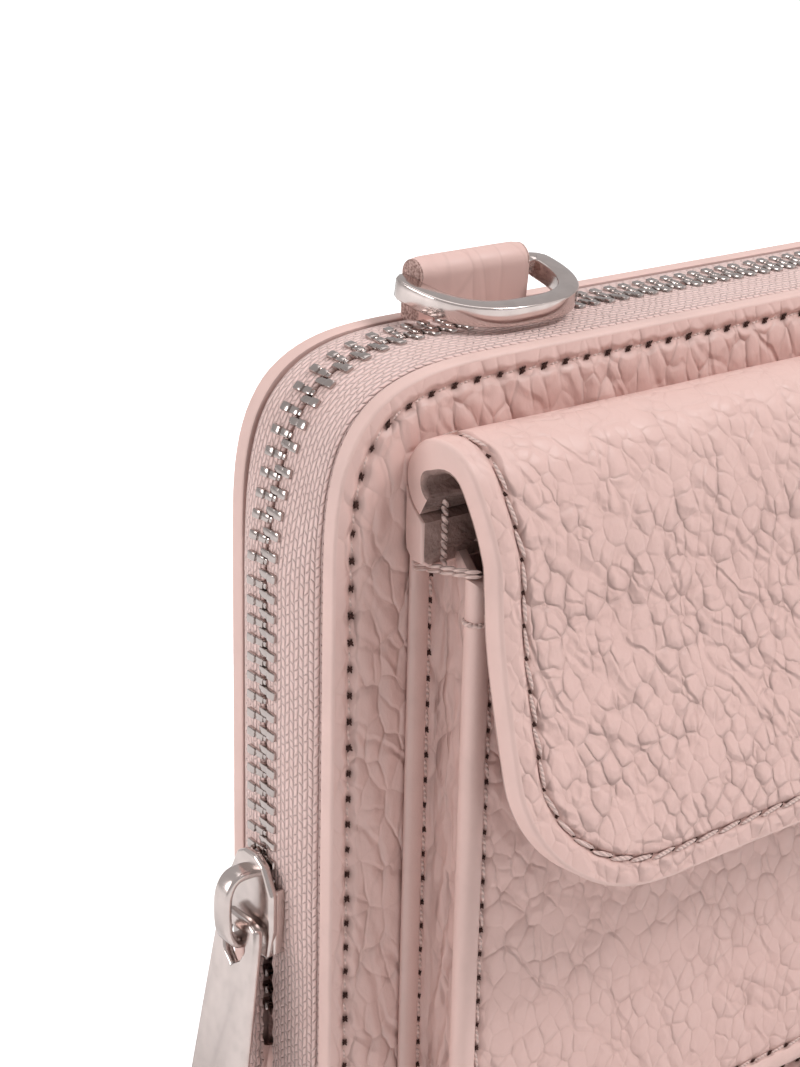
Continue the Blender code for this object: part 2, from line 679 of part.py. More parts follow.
def flap_route():
    """The flap's outer surface from the rear of its roll to its lower edge, as (Y, Z) points."""
    points = []
    roll_end = math.pi - FLAP_LEAN
    for step in range(ROLL_STEPS + 1):
        angle = roll_end * step / ROLL_STEPS
        points.append(Vector((ROLL_Y + FLAP_ROLL * math.cos(angle), ROLL_HEIGHT + FLAP_ROLL * math.sin(angle))))
    bottom = CASE_HEIGHT - FLAP_BOTTOM_DROP
    bend_drop = FLAP_BEND * math.sin(FLAP_LEAN)
    run = (points[-1].y - bottom - bend_drop) / math.cos(FLAP_LEAN)
    points.append(points[-1] + run * Vector((-math.sin(FLAP_LEAN), -math.cos(FLAP_LEAN))))
    bend_centre = points[-1] + FLAP_BEND * Vector((math.cos(FLAP_LEAN), -math.sin(FLAP_LEAN)))
    for step in range(1, BEND_STEPS + 1):
        angle = FLAP_LEAN * (1 - step / BEND_STEPS)
        points.append(bend_centre + FLAP_BEND * Vector((-math.cos(angle), math.sin(angle))))
    return points


def bent_sheet(name, outline, route, inset, thickness):
    """A flat outline (across, along) laid on a route of (Y, Z) points, set in from it, and given its thickness."""
    bm = bmesh.new()
    bm.faces.new([bm.verts.new((across, along, 0)) for across, along in outline])
    distances = [0.0]
    for start, end in zip(route, route[1:]):
        distances.append(distances[-1] + (end - start).length)
    for distance in distances[1:-1]:
        bmesh.ops.bisect_plane(bm, geom=bm.verts[:] + bm.edges[:] + bm.faces[:], dist=WELD,
                               plane_co=(0, distance, 0), plane_no=(0, 1, 0))
    for vert in bm.verts:
        index = 1
        while index < len(distances) - 1 and vert.co.y > distances[index] + WELD:
            index += 1
        share = (vert.co.y - distances[index - 1]) / (distances[index] - distances[index - 1])
        spot = route[index - 1].lerp(route[index], share)
        vert.co = (vert.co.x, spot.x, spot.y)
    bmesh.ops.recalc_face_normals(bm, faces=bm.faces)
    bm.faces.ensure_lookup_table()
    lowest = min(bm.faces, key=lambda face: face.calc_center_median().z)
    if lowest.normal.y > 0:
        bmesh.ops.reverse_faces(bm, faces=bm.faces)
    mesh = bpy.data.meshes.new(name)
    bm.to_mesh(mesh)
    bm.free()
    sheet = mesh_object(name, mesh, Matrix(), WALLET)
    thicken = sheet.modifiers.new("sheet_thickness", "SOLIDIFY")
    thicken.thickness = thickness
    thicken.offset = -1.0 - 2 * inset / thickness
    return sheet


def sheet_outline(half_width, start, end, across_reach, along_reach, steps=ROUND_STEPS):
    """A strip's flat outline, with its two far corners rounded as quarter ellipses."""
    right = []
    for step in range(steps + 1):
        angle = math.pi / 2 * step / steps
        right.append((half_width - across_reach * (1 - math.cos(angle)),
                      end - along_reach * (1 - math.sin(angle))))
    left = [(-across, along) for across, along in reversed(right)]
    return [(-half_width, start), (half_width, start)] + right + left


def make_flap(leg_body, body):
    """The flap: a leg sewn to the panel, a roll that turns on it, and the front that hangs over the pocket."""
    route = flap_route()
    length = sum((end - start).length for start, end in zip(route, route[1:]))
    outline = sheet_outline(FLAP_HALF_WIDTH, 0.0, length, FLAP_CORNER_ACROSS, FLAP_CORNER_ALONG)
    flap = bent_sheet("flap", outline, route, 0.0, FLAP_THICK)
    bevel(flap, FLAP_EDGE_ROUND, angle=50)
    place_piece(flap, body, LEATHER)

    roll = sum((end - start).length for start, end in zip(route[:ROLL_STEPS], route[1:ROLL_STEPS + 1]))
    inset = FLAP_LINING_INSET
    outline = sheet_outline(FLAP_HALF_WIDTH - inset, roll + inset, length - inset,
                            FLAP_CORNER_ACROSS - inset, FLAP_CORNER_ALONG - inset)
    lining = bent_sheet("flap_lining", outline, route, FLAP_THICK + GAP, LINING_THICK)
    place_piece(lining, body, LINING)

    low = CASE_HEIGHT - FLAP_LEG_DROP
    seat = FLAP_ROLL + GAP
    back = FRONT_FACE - GAP
    front = back - FLAP_THICK
    foot = math.acos((front - ROLL_Y) / seat)
    outline = [(front, low + FLAP_THICK / 2), (back, low), (back, ROLL_HEIGHT)]
    for step in range(1, ROUND_STEPS + 1):
        angle = -foot * step / ROUND_STEPS
        outline.append((min(ROLL_Y + seat * math.cos(angle), back), ROLL_HEIGHT + seat * math.sin(angle)))
    leg = outline_solid("flap_leg", [outline], CASE_WIDTH - 2 * FLAP_LEG_INSET, SIDEWAYS)
    return place_piece(leg, leg_body, LEATHER)


def flap_depth(height):
    """The depth of the flap's outer surface at a height below its roll."""
    route = flap_route()
    for start, end in zip(route[ROLL_STEPS:], route[ROLL_STEPS + 1:]):
        if end.y <= height <= start.y:
            return start.lerp(end, (start.y - height) / (start.y - end.y)).x
    return route[-1].x


def make_snap(socket_body, stud_body):
    """The magnetic snap: a socket on the pocket's front and a stud on the flap's lining."""
    face = POCKET_OUTER - GAP
    socket = cylinder("snap_socket", SNAP_RADIUS, SNAP_SOCKET_THICK,
                      Matrix.Translation((0, face - SNAP_SOCKET_THICK / 2, SNAP_HEIGHT)) @ UPRIGHT)
    well = cylinder("snap_well", SNAP_NUB_RADIUS + GAP, 2 * (SNAP_NUB_HEIGHT + GAP),
                    Matrix.Translation((0, face - SNAP_SOCKET_THICK, SNAP_HEIGHT)) @ UPRIGHT, CUTTERS)
    bevel(socket, RING_EDGE_ROUND)
    boolean(socket, well, "DIFFERENCE")
    place_piece(socket, socket_body, NICKEL)

    near = face - SNAP_SOCKET_THICK - GAP
    lining_build = (FLAP_THICK + GAP + LINING_THICK) / math.cos(FLAP_LEAN)
    far = flap_depth(SNAP_HEIGHT + SNAP_RADIUS) + lining_build + GAP
    stud = cylinder("snap_stud", SNAP_RADIUS, near - far,
                    Matrix.Translation((0, (near + far) / 2, SNAP_HEIGHT)) @ UPRIGHT)
    nub = cylinder("snap_nub", SNAP_NUB_RADIUS, 2 * SNAP_NUB_HEIGHT,
                   Matrix.Translation((0, near, SNAP_HEIGHT)) @ UPRIGHT, CUTTERS)
    bevel(stud, RING_EDGE_ROUND)
    boolean(stud, nub, "UNION")
    place_piece(stud, stud_body, NICKEL)


def make_slot_leather(name, left, right, low, high, seat, toward, leather, space, rim, body):
    """A flat pocket leather on a lining: its sides and foot are thick enough to reach the lining."""
    depth = leather + space
    middle = seat + toward * depth / 2
    piece = outline_solid(name, [[(left, low), (right, low), (right, high), (left, high)]], depth,
                          at_depth(middle))
    behind, before = seat - toward * OVERRUN, seat + toward * space
    hollow = box(name + "_hollow", (left + rim, min(behind, before), low + rim),
                 (right - rim, max(behind, before), high + OVERRUN), CUTTERS)
    boolean(piece, hollow, "DIFFERENCE")
    return place_piece(piece, body, LEATHER, smooth=False)


def make_inside(front_body, back_body):
    """The slip pocket on the back lining and two banks of stepped card slots on the front one."""
    make_slot_leather("slip_pocket", -SLIP_HALF_WIDTH, SLIP_HALF_WIDTH, SLIP_BASE, SLIP_BASE + SLIP_HEIGHT,
                      BACK_LINING_FACE - GAP, -1, SLIP_LEATHER, SLIP_SPACE, SLIP_RIM, back_body)
    for side, left in (("left", -CARD_WIDTH - CARD_BANK_GAP / 2), ("right", CARD_BANK_GAP / 2)):
        seat = FRONT_LINING_FACE + GAP
        for index in range(CARD_SLOTS):
            high = CARD_BASE + CARD_HEIGHT + (CARD_SLOTS - 1 - index) * CARD_STEP
            make_slot_leather(f"card_slot_{side}_{index + 1}", left, left + CARD_WIDTH, CARD_BASE, high, seat, 1,
                              CARD_LEATHER, CARD_SPACE, CARD_RIM, front_body)
            seat += CARD_LEATHER + CARD_SPACE + GAP


def build():
    back = body_empty("back_shell_origin", (0, 0, 0))
    front = body_empty("front_shell_axis", (0, FRONT_FACE, 0), back)
    flap = body_empty("flap_axis", (0, ROLL_Y, ROLL_HEIGHT), front)
    slider = body_empty("slider_axis", (-HALF_WIDTH, 0, SLIDER_CENTRE), back)
    puller = body_empty("puller_axis", (-PULLER_AXIS_OUT, 0, PULLER_AXIS_HEIGHT), slider)

    slots = [tab_slot("tab_slot_left", -RING_CENTRE), tab_slot("tab_slot_right", RING_CENTRE)]
    make_panel("back_panel", BACK_INNER, 1, back, slots)
    make_panel("front_panel", FRONT_INNER, -1, front)
    for label, inner, outward, gusset, body in (("back", BACK_INNER, 1, BACK_GUSSET, back),
                                                ("front", FRONT_INNER, -1, FRONT_GUSSET, front)):
        make_board(label + "_board", inner, outward, body)
        make_lining(label + "_lining", inner, outward, body)
        make_tape(label + "_zip_tape", gusset, outward, body)
        make_teeth(label + "_teeth", outward, body)
    make_stop("top_stop_back", -1, ROW_CLEARANCE, CHAIN_HALF_WIDTH, back)
    make_stop("top_stop_front", -1, -CHAIN_HALF_WIDTH, -ROW_CLEARANCE, front)
    make_stop("bottom_stop", 1, -CHAIN_HALF_WIDTH, CHAIN_HALF_WIDTH, back)
    make_spine(back)
    make_bellows("gusset_end_left", -1, back)
    make_bellows("gusset_end_right", 1, back)
    for label, centre in (("left", -RING_CENTRE), ("right", RING_CENTRE)):
        ring = body_empty(f"ring_{label}_axis", (centre, RING_SETBACK, RING_AXIS_HEIGHT), back)
        make_tab("tab_" + label, centre, back)
        make_ring("ring_" + label, centre, ring)
    make_slider(slider)
    make_puller(puller)
    make_pocket(front)
    make_flap(front, flap)
    make_snap(front, flap)
    make_inside(front, back)


build()
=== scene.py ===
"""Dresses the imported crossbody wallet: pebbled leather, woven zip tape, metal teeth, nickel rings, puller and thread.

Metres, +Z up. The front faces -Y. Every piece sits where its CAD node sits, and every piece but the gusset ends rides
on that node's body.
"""

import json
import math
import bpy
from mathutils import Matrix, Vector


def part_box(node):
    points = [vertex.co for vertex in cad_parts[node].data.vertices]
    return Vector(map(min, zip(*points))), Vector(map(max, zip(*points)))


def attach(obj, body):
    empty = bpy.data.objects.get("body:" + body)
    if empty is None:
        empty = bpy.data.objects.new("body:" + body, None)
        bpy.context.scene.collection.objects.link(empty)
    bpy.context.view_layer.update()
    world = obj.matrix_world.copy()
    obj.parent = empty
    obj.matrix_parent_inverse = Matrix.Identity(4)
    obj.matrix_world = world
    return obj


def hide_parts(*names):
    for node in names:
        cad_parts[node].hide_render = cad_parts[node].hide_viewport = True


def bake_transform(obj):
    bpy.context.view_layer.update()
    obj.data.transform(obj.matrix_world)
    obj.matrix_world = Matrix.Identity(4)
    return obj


bl_info = {
    "name": "Crossbody wallet",
    "version": (1, 0, 0),
    "blender": (4, 5, 0),
    "location": "View3D > Sidebar > Wallet",
    "description": "Leather, zip, metal and thread of a crossbody wallet, built round its packed solids",
    "category": "Object",
}

import bmesh
import bpy
from mathutils import Matrix, Vector, noise

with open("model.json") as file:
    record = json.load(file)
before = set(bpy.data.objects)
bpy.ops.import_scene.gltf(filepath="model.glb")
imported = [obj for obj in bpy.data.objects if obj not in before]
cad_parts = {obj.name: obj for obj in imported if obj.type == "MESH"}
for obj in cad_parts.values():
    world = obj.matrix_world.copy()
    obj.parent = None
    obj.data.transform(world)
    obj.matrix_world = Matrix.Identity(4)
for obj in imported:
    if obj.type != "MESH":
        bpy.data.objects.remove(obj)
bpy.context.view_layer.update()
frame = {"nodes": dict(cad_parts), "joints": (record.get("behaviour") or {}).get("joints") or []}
JOINT_PLACE = {joint["name"]: Vector(joint["pos_m"]) for joint in frame["joints"] if "pos_m" in joint}


def low(node):
    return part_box(node)[0]


def high(node):
    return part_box(node)[1]


MM = 0.001

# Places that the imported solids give
HALF_WIDTH, HEIGHT = high("front_panel").x, high("front_panel").z
FRONT_FACE, FRONT_INNER = low("front_panel").y, high("front_panel").y
BACK_INNER, BACK_FACE = low("back_panel").y, high("back_panel").y
PANEL_THICK = FRONT_INNER - FRONT_FACE
ZIP_END = low("front_zip_tape").z
SLIDER_LOW, SLIDER_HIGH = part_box("slider")
SLIDER_Z = (SLIDER_LOW.z + SLIDER_HIGH.z) / 2

# Turns a plate drawn as (forwards, up) so that it faces left
FACING_LEFT = Matrix(((0, 0, -1, 0), (-1, 0, 0, 0), (0, 1, 0, 0), (0, 0, 0, 1)))

# Outlines that the solids' source also has
CORNER_REACH, CORNER_POWER = 27.2 * MM, 3.6
FLAP_THICK, FLAP_ROLL = 2.4 * MM, 4.8 * MM
FLAP_LEAN, FLAP_BEND, ROLL_START = math.radians(14), 60 * MM, math.radians(62)
FLAP_CORNER_ACROSS, FLAP_CORNER_ALONG = 26 * MM, 19 * MM
RING_WIDTH, RING_REACH, RING_POWER = 24.0 * MM, 13.0 * MM, 2.7
RING_BAND, RING_DEEP, RING_BAR, RING_TILT = 2.6 * MM, 2.6 * MM, 1.2 * MM, math.radians(9.4)
POCKET_CORNER = 9 * MM
TEETH_HIGH, TOOTH_PITCH = 2.2 * MM, 2.54 * MM
PULLER_TILT = math.radians(9)

# The rings lie this much nearer the middle and lower than their solids, as in the photograph
RING_INWARDS, RING_LOWER = 0.65 * MM, 1.2 * MM

# How deep the parted teeth and the two stops below the slider are sunk
BACK_TEETH_SUNK, FRONT_TEETH_SUNK, STOPS_SUNK = 2.4 * MM, 2.5 * MM, 4.4 * MM

# The flap's puffed shoulder and its flared corners, and where the painted shade inside the fold ends
SHOULDER_PUFF, SHOULDER_REACH, CORNER_FLARE, FOLD_END = 2.6 * MM, 11 * MM, 2.0 * MM, -34 * MM

# Insets of the stitch lines, and the thickness of the leg behind the flap's roll and of the lining cloths
FLAP_LINE, PANEL_LINE, POCKET_LINE = 3.7 * MM, 2.65 * MM, 3.3 * MM
LEG_THICK, CLOTH_THICK = 3.3 * MM, 0.5 * MM

# The photograph's camera, with lengths of its picture in pixels
PHOTO_HEIGHT = 1067
VIEW_AZIMUTH, VIEW_ELEVATION, VIEW_ROLL = math.radians(37.67), math.radians(20.67), math.radians(1.29)
FOCAL_PIXELS = 2248.54
VIEW_DISTANCE = 0.26546
SENSOR_MM = 36.0


# ---------------------------------------------------------------- settings

def length_setting(name, description, default):
    return bpy.props.FloatProperty(name=name, description=description, default=default, min=0.0,
                                   subtype="DISTANCE", unit="LENGTH", precision=5)


def colour_setting(name, description, default):
    return bpy.props.FloatVectorProperty(name=name, description=description, default=default, size=3,
                                         min=0.0, max=1.0, subtype="COLOR")


class WalletSizes(bpy.types.PropertyGroup):
    pebble: length_setting("Pebble", "Width of one pebble of the leather's grain", 2.6 * MM)
    crease: length_setting("Crease depth", "Depth of the creases between pebbles", 0.46 * MM)
    panel_stitch: length_setting("Panel stitch", "Distance between two stitches on the panels", 3.4 * MM)
    flap_stitch: length_setting("Flap stitch", "Distance between two stitches on the flap", 3.9 * MM)
    thread: length_setting("Thread", "Thickness of the sewing thread", 0.55 * MM)
    weave_column: length_setting("Weave column", "Width of one column of the zip tape's weave", 0.72 * MM)
    weave_pitch: length_setting("Weave pitch", "Length of one thread of the zip tape's weave", 1.28 * MM)


class WalletColours(bpy.types.PropertyGroup):
    leather: colour_setting("Leather", "Pebbled leather", (0.722, 0.484, 0.440))
    edge: colour_setting("Turned edge", "Smooth turned and painted edges", (0.745, 0.520, 0.475))
    # The crease colour is painted shade: it darkens the crease bottoms and the stitch valleys of the pebbled leather.
    crease: colour_setting("Crease", "Leather in the creases", (0.470, 0.285, 0.250))
    tape: colour_setting("Zip tape", "Woven zip tape", (0.840, 0.600, 0.560))
    thread: colour_setting("Thread", "Sewing thread", (0.780, 0.560, 0.510))
    # The stitch hole colour is painted shade: the dark inside of a needle hole.
    hole: colour_setting("Stitch hole", "Inside of a needle hole", (0.075, 0.036, 0.030))
    nickel: colour_setting("Nickel", "Polished nickel plate", (0.630, 0.545, 0.520))
    lining: colour_setting("Lining", "Twill lining inside", (0.430, 0.270, 0.245))


def sizes():
    return bpy.context.scene.wallet_sizes


def colours():
    return bpy.context.scene.wallet_colours


# ---------------------------------------------------------------- node helpers

def node(tree, kind, settings=None, **inputs):
    """A node with its settings and its inputs, which are values or other nodes' sockets."""
    made = tree.nodes.new(kind)
    for name, value in (settings or {}).items():
        setattr(made, name, value)
    for name, value in inputs.items():
        key = int(name[1:]) if name[0] == "i" and name[1:].isdigit() else name.replace("_", " ")
        plug(tree, made.inputs[key], value)
    return made


def plug(tree, socket, value):
    if isinstance(value, bpy.types.NodeSocket):
        tree.links.new(value, socket)
    else:
        socket.default_value = value


def calc(tree, operation, first, second=0.0, third=0.0, clamp=False):
    made = tree.nodes.new("ShaderNodeMath")
    made.operation, made.use_clamp = operation, clamp
    for index, value in enumerate((first, second, third)):
        plug(tree, made.inputs[index], value)
    return made.outputs[0]


def ramp(tree, value, start, end, low_value=0.0, high_value=1.0):
    """A smooth step of a value."""
    made = tree.nodes.new("ShaderNodeMapRange")
    made.interpolation_type = "SMOOTHSTEP"
    for index, number in enumerate((value, start, end, low_value, high_value)):
        plug(tree, made.inputs[index], number)
    return made.outputs[0]


def mix_colour(tree, share, first, second):
    made = tree.nodes.new("ShaderNodeMix")
    made.data_type = "RGBA"
    plug(tree, made.inputs[0], share)
    plug(tree, made.inputs[6], first if isinstance(first, bpy.types.NodeSocket) else (*first, 1.0))
    plug(tree, made.inputs[7], second if isinstance(second, bpy.types.NodeSocket) else (*second, 1.0))
    return made.outputs[2]


def fuzz(tree, place, scale, detail=2.0, **more):
    """A noise of the place."""
    return node(tree, "ShaderNodeTexNoise", Vector=place, Scale=scale, Detail=detail, **more).outputs["Fac"]


def carried(tree, name):
    """A value that the mesh's points carry."""
    return node(tree, "ShaderNodeAttribute", {"attribute_name": name}).outputs["Fac"]


def darker(colour, share):
    return tuple(channel * share for channel in colour)


def new_group(name, inputs, outputs):
    """A node group of float inputs, given as (name, default), and float outputs. A default of None makes a vector."""
    tree = bpy.data.node_groups.new(name, "ShaderNodeTree")
    for label, default in inputs:
        kind = "NodeSocketVector" if default is None else "NodeSocketFloat"
        socket = tree.interface.new_socket(name=label, in_out="INPUT", socket_type=kind)
        if default is not None:
            socket.default_value = default
    for label in outputs:
        tree.interface.new_socket(name=label, in_out="OUTPUT", socket_type="NodeSocketFloat")
    return tree, tree.nodes.new("NodeGroupInput").outputs, tree.nodes.new("NodeGroupOutput").inputs


def use_group(tree, name, **inputs):
    made = tree.nodes.new("ShaderNodeGroup")
    made.node_tree = bpy.data.node_groups[name]
    for label, value in inputs.items():
        plug(tree, made.inputs[label], value)
    return made.outputs


# ---------------------------------------------------------------- shared effects

def build_pebbled_grain():
    """Leather grain: round pebbles that meet in creases, long wavy creases that cross them, a swell and pores."""
    tree, given, result = new_group("pebbled_grain", [("Vector", None), ("Pebble", 2.6 * MM)],
                                    ["Height", "Crease", "Mottle"])
    place, pebble = given["Vector"], given["Pebble"]
    cells = calc(tree, "DIVIDE", 1.0, pebble)

    def cloud(vector, scale, detail, output="Fac"):
        return node(tree, "ShaderNodeTexNoise", Vector=vector, Scale=calc(tree, "MULTIPLY", cells, scale),
                    Detail=detail).outputs[output]

    def shifted(scale, detail, reach):
        shift = node(tree, "ShaderNodeVectorMath", {"operation": "SUBTRACT"}, i0=cloud(place, scale, detail, "Color"),
                     i1=(0.5, 0.5, 0.5))
        push = node(tree, "ShaderNodeVectorMath", {"operation": "SCALE"}, i0=shift.outputs[0],
                    Scale=calc(tree, "MULTIPLY", pebble, reach))
        return node(tree, "ShaderNodeVectorMath", {"operation": "ADD"}, i0=place, i1=push.outputs[0]).outputs[0]

    def drawn_out(vector, angle, length):
        return node(tree, "ShaderNodeMapping", {"vector_type": "TEXTURE"}, Vector=vector,
                    Rotation=(0.0, math.radians(angle), 0.0), Scale=(1.0, 1.0, length)).outputs[0]

    def cell(feature):
        return node(tree, "ShaderNodeTexVoronoi", {"feature": feature}, Vector=leaning, Scale=cells,
                    Randomness=0.88).outputs["Distance"]

    leaning = drawn_out(shifted(0.7, 2.0, 0.60), -22, 1.38)
    centre, edge = cell("F1"), cell("DISTANCE_TO_EDGE")
    wander = cloud(drawn_out(shifted(0.4, 2.0, 1.1), -42, 3.4), 0.40, 1.0)
    long_one = calc(tree, "ABSOLUTE", calc(tree, "SUBTRACT", wander, 0.5))
    strength = ramp(tree, cloud(place, 0.45, 2.0), 0.38, 0.60, 0.30, 1.0)
    height = calc(tree, "MULTIPLY", calc(tree, "MULTIPLY", centre, centre), -2.6)
    height = calc(tree, "MULTIPLY_ADD", ramp(tree, edge, 0.0, 0.13), 0.26, height)
    height = calc(tree, "MULTIPLY", calc(tree, "ADD", height, 0.7), strength)
    for layer_height, share in ((ramp(tree, long_one, 0.0, 0.065), 0.60), (cloud(leaning, 1.4, 2.0), 0.30),
                                (cloud(place, 0.3, 1.0), 0.9), (fuzz(tree, place, 1700.0, 3.0, Roughness=0.6), 0.11)):
        height = calc(tree, "MULTIPLY_ADD", layer_height, share, height)
    # The Crease output masks the crease bottoms, where the leather is darkened as painted shade.
    groove = calc(tree, "MAXIMUM", calc(tree, "MULTIPLY", ramp(tree, edge, 0.0, 0.07, 1.0, 0.0), strength),
                  ramp(tree, long_one, 0.0, 0.018, 0.9, 0.0))
    plug(tree, result["Height"], height)
    plug(tree, result["Crease"], groove)
    plug(tree, result["Mottle"], fuzz(tree, place, 95.0, 4.0))


def build_seam_pucker():
    """Leather drawn in along a stitch line, most at each needle hole."""
    tree, given, result = new_group(
        "seam_pucker", [("Seam", 0.0), ("Inset", 0.0), ("Line", 2.6 * MM), ("Reach", 1.2 * MM)], ["Drop", "Edge"])
    away = calc(tree, "ABSOLUTE", calc(tree, "ADD", given["Inset"], given["Line"]))
    turn = calc(tree, "COSINE", calc(tree, "MULTIPLY", given["Seam"], 2 * math.pi))
    pinch = calc(tree, "MULTIPLY_ADD", turn, 0.5, 0.5)
    reach = calc(tree, "MULTIPLY", given["Reach"], calc(tree, "MULTIPLY_ADD", pinch, 0.45, 0.75))
    valley = ramp(tree, calc(tree, "DIVIDE", away, reach), 0.0, 1.0, 1.0, 0.0)
    plug(tree, result["Drop"], calc(tree, "MULTIPLY", valley, calc(tree, "MULTIPLY_ADD", pinch, 0.45, 0.55)))
    plug(tree, result["Edge"], ramp(tree, calc(tree, "MULTIPLY", given["Inset"], -1.0), 0.3 * MM,
                                    calc(tree, "MULTIPLY", given["Line"], 1.1)))


def build_herringbone():
    """Knitted zip tape: columns of short rounded threads, each column set off from the next."""
    tree, given, result = new_group(
        "herringbone_weave",
        [("Along", 0.0), ("Across", 0.0), ("Column", 0.6 * MM), ("Pitch", 1.0 * MM), ("Jitter", 0.0)],
        ["Height", "Gap"])
    column = calc(tree, "DIVIDE", given["Across"], given["Column"])
    which = calc(tree, "FLOOR", column)
    inside = calc(tree, "SUBTRACT", calc(tree, "FRACT", column), 0.5)
    turned = calc(tree, "MULTIPLY_ADD", calc(tree, "FLOORED_MODULO", which, 2.0), 2.0, -1.0)
    slant = calc(tree, "MULTIPLY", calc(tree, "MULTIPLY", inside, turned), 0.28)
    run = calc(tree, "ADD", calc(tree, "DIVIDE", given["Along"], given["Pitch"]), slant)
    run = calc(tree, "ADD", calc(tree, "MULTIPLY_ADD", which, 0.57, run), given["Jitter"])
    thread = calc(tree, "SUBTRACT", calc(tree, "FRACT", run), 0.5)

    def rounded(value, power):
        return calc(tree, "SUBTRACT", 1.0, calc(tree, "POWER", calc(
            tree, "MULTIPLY", calc(tree, "ABSOLUTE", value), 2.0), power))

    height = calc(tree, "MULTIPLY", rounded(thread, 4.0), rounded(inside, 3.0))
    plug(tree, result["Height"], height)
    # The Gap output masks the low places between threads, which the tape darkens as painted shade.
    plug(tree, result["Gap"], ramp(tree, height, 0.0, 0.45, 1.0, 0.0))


def build_handling():
    """Marks of handling on metal: faint smears and hairlines."""
    tree, given, result = new_group("handling_marks", [("Vector", None)], ["Smear", "Hairline"])
    drawn = node(tree, "ShaderNodeMapping", Vector=given["Vector"], Scale=(1.0, 1.0, 0.06)).outputs[0]
    plug(tree, result["Smear"], fuzz(tree, given["Vector"], 420.0, 4.0))
    plug(tree, result["Hairline"], fuzz(tree, drawn, 5200.0))


# ---------------------------------------------------------------- materials

def new_material(name):
    """A material's tree, its shader and the object's own coordinates."""
    made = bpy.data.materials.new(name)
    made.use_nodes = True
    tree = made.node_tree
    return tree, tree.nodes["Principled BSDF"], node(tree, "ShaderNodeTexCoord").outputs["Object"]


def dress(tree, shader, colour, roughness, bump=None, **more):
    """Gives a shader its colour, its roughness, its bump of (height, distance) and any other inputs."""
    for name, value in {"Base_Color": colour, "Roughness": roughness, **more}.items():
        plug(tree, shader.inputs[name.replace("_", " ")], value)
    if bump:
        made = node(tree, "ShaderNodeBump", Height=bump[0], Distance=bump[1])
        plug(tree, shader.inputs["Normal"], made.outputs["Normal"])


def pebbled_leather(name, pebble, crease, stretch, line=None, calm=0.35, smooth_above=None):
    """Pebbled leather. With a stitch line it is drawn in there, and its grain calms down towards the edge and,
    between the two distances of smooth_above, towards the fold."""
    tree, shader, place = new_material(name)
    drawn = node(tree, "ShaderNodeMapping", Vector=place, Scale=stretch).outputs[0]
    grain = use_group(tree, "pebbled_grain", Vector=drawn, Pebble=pebble)
    height, groove = grain["Height"], grain["Crease"]
    if smooth_above:
        kept = ramp(tree, carried(tree, "along"), *smooth_above, 1.0, 0.30)
        height, groove = calc(tree, "MULTIPLY", height, kept), calc(tree, "MULTIPLY", groove, kept)
    if line:
        pucker = use_group(tree, "seam_pucker", Seam=carried(tree, "seam"), Inset=carried(tree, "inset"), Line=line,
                           Reach=1.25 * MM)
        fade = calc(tree, "MULTIPLY_ADD", pucker["Edge"], 1.0 - calm, calm)
        height, groove = calc(tree, "MULTIPLY", height, fade), calc(tree, "MULTIPLY", groove, fade)
        height = calc(tree, "SUBTRACT", height, calc(tree, "MULTIPLY", pucker["Drop"], 1.3))
    base = mix_colour(tree, ramp(tree, grain["Mottle"], 0.30, 0.70, 0.0, 0.22), colours().leather, colours().edge)
    # Painted shade: the crease colour darkens the bottoms of the creases.
    base = mix_colour(tree, calc(tree, "MULTIPLY", groove, 0.20), base, colours().crease)
    # Painted shade: along a stitch line the crease colour darkens the sunken valley, most at each needle hole.
    if line:
        base = mix_colour(tree, ramp(tree, pucker["Drop"], 0.38, 0.95, 0.0, 0.80), base, colours().crease)
    dress(tree, shader, base, ramp(tree, grain["Height"], 0.4, 1.7, 0.60, 0.44), (height, crease),
          Specular_IOR_Level=0.42)


def smooth_leather(name, colour, roughness=0.52, depth=0.035 * MM):
    tree, shader, place = new_material(name)
    fine = fuzz(tree, place, 1500.0, 4.0)
    blotch = ramp(tree, fuzz(tree, place, 160.0, 5.0), 0.35, 0.75, 0.0, 0.5)
    dress(tree, shader, mix_colour(tree, blotch, colour, darker(colour, 0.86)),
          ramp(tree, fine, 0.2, 0.8, roughness - 0.06, roughness + 0.08), (fine, depth), Specular_IOR_Level=0.4)


def woven_tape(name):
    tree, shader, place = new_material(name)
    stray = fuzz(tree, place, 260.0)
    weave = use_group(tree, "herringbone_weave", Along=carried(tree, "along"),
                      Across=calc(tree, "MULTIPLY_ADD", stray, 0.25 * MM, carried(tree, "across")),
                      Column=sizes().weave_column, Pitch=sizes().weave_pitch, Jitter=calc(tree, "MULTIPLY", stray, 1.3))
    tape = colours().tape
    # Painted shade: the gaps between the threads are darkened.
    base = mix_colour(tree, calc(tree, "MULTIPLY", weave["Gap"], 0.34), tape, darker(tape, 0.60))
    base = mix_colour(tree, ramp(tree, fuzz(tree, place, 220.0, 3.0), 0.35, 0.7, 0.0, 0.25), base, colours().leather)
    height = calc(tree, "MULTIPLY_ADD", fuzz(tree, place, 3800.0, 3.0), 0.22, weave["Height"])
    dress(tree, shader, base, 0.72, (height, 0.27 * MM), Sheen_Weight=0.25, Sheen_Roughness=0.4)


def twill_lining(name):
    tree, shader, place = new_material(name)
    along, across = carried(tree, "along"), carried(tree, "across")

    def ribs(value, pitch):
        return calc(tree, "ABSOLUTE", calc(tree, "SUBTRACT", calc(
            tree, "FRACT", calc(tree, "DIVIDE", value, pitch)), 0.5))

    rib = ribs(calc(tree, "ADD", along, across), 0.7 * MM)
    height = calc(tree, "MULTIPLY_ADD", ribs(calc(tree, "SUBTRACT", along, across), 0.5 * MM), 0.5, rib)
    shade = darker(colours().lining, 0.7)
    base = mix_colour(tree, ramp(tree, rib, 0.05, 0.45, 0.0, 0.6), colours().lining, shade)
    base = mix_colour(tree, ramp(tree, fuzz(tree, place, 150.0, 4.0), 0.3, 0.8, 0.0, 0.3), base, shade)
    dress(tree, shader, base, 0.82, (height, 0.08 * MM), Sheen_Weight=0.15)


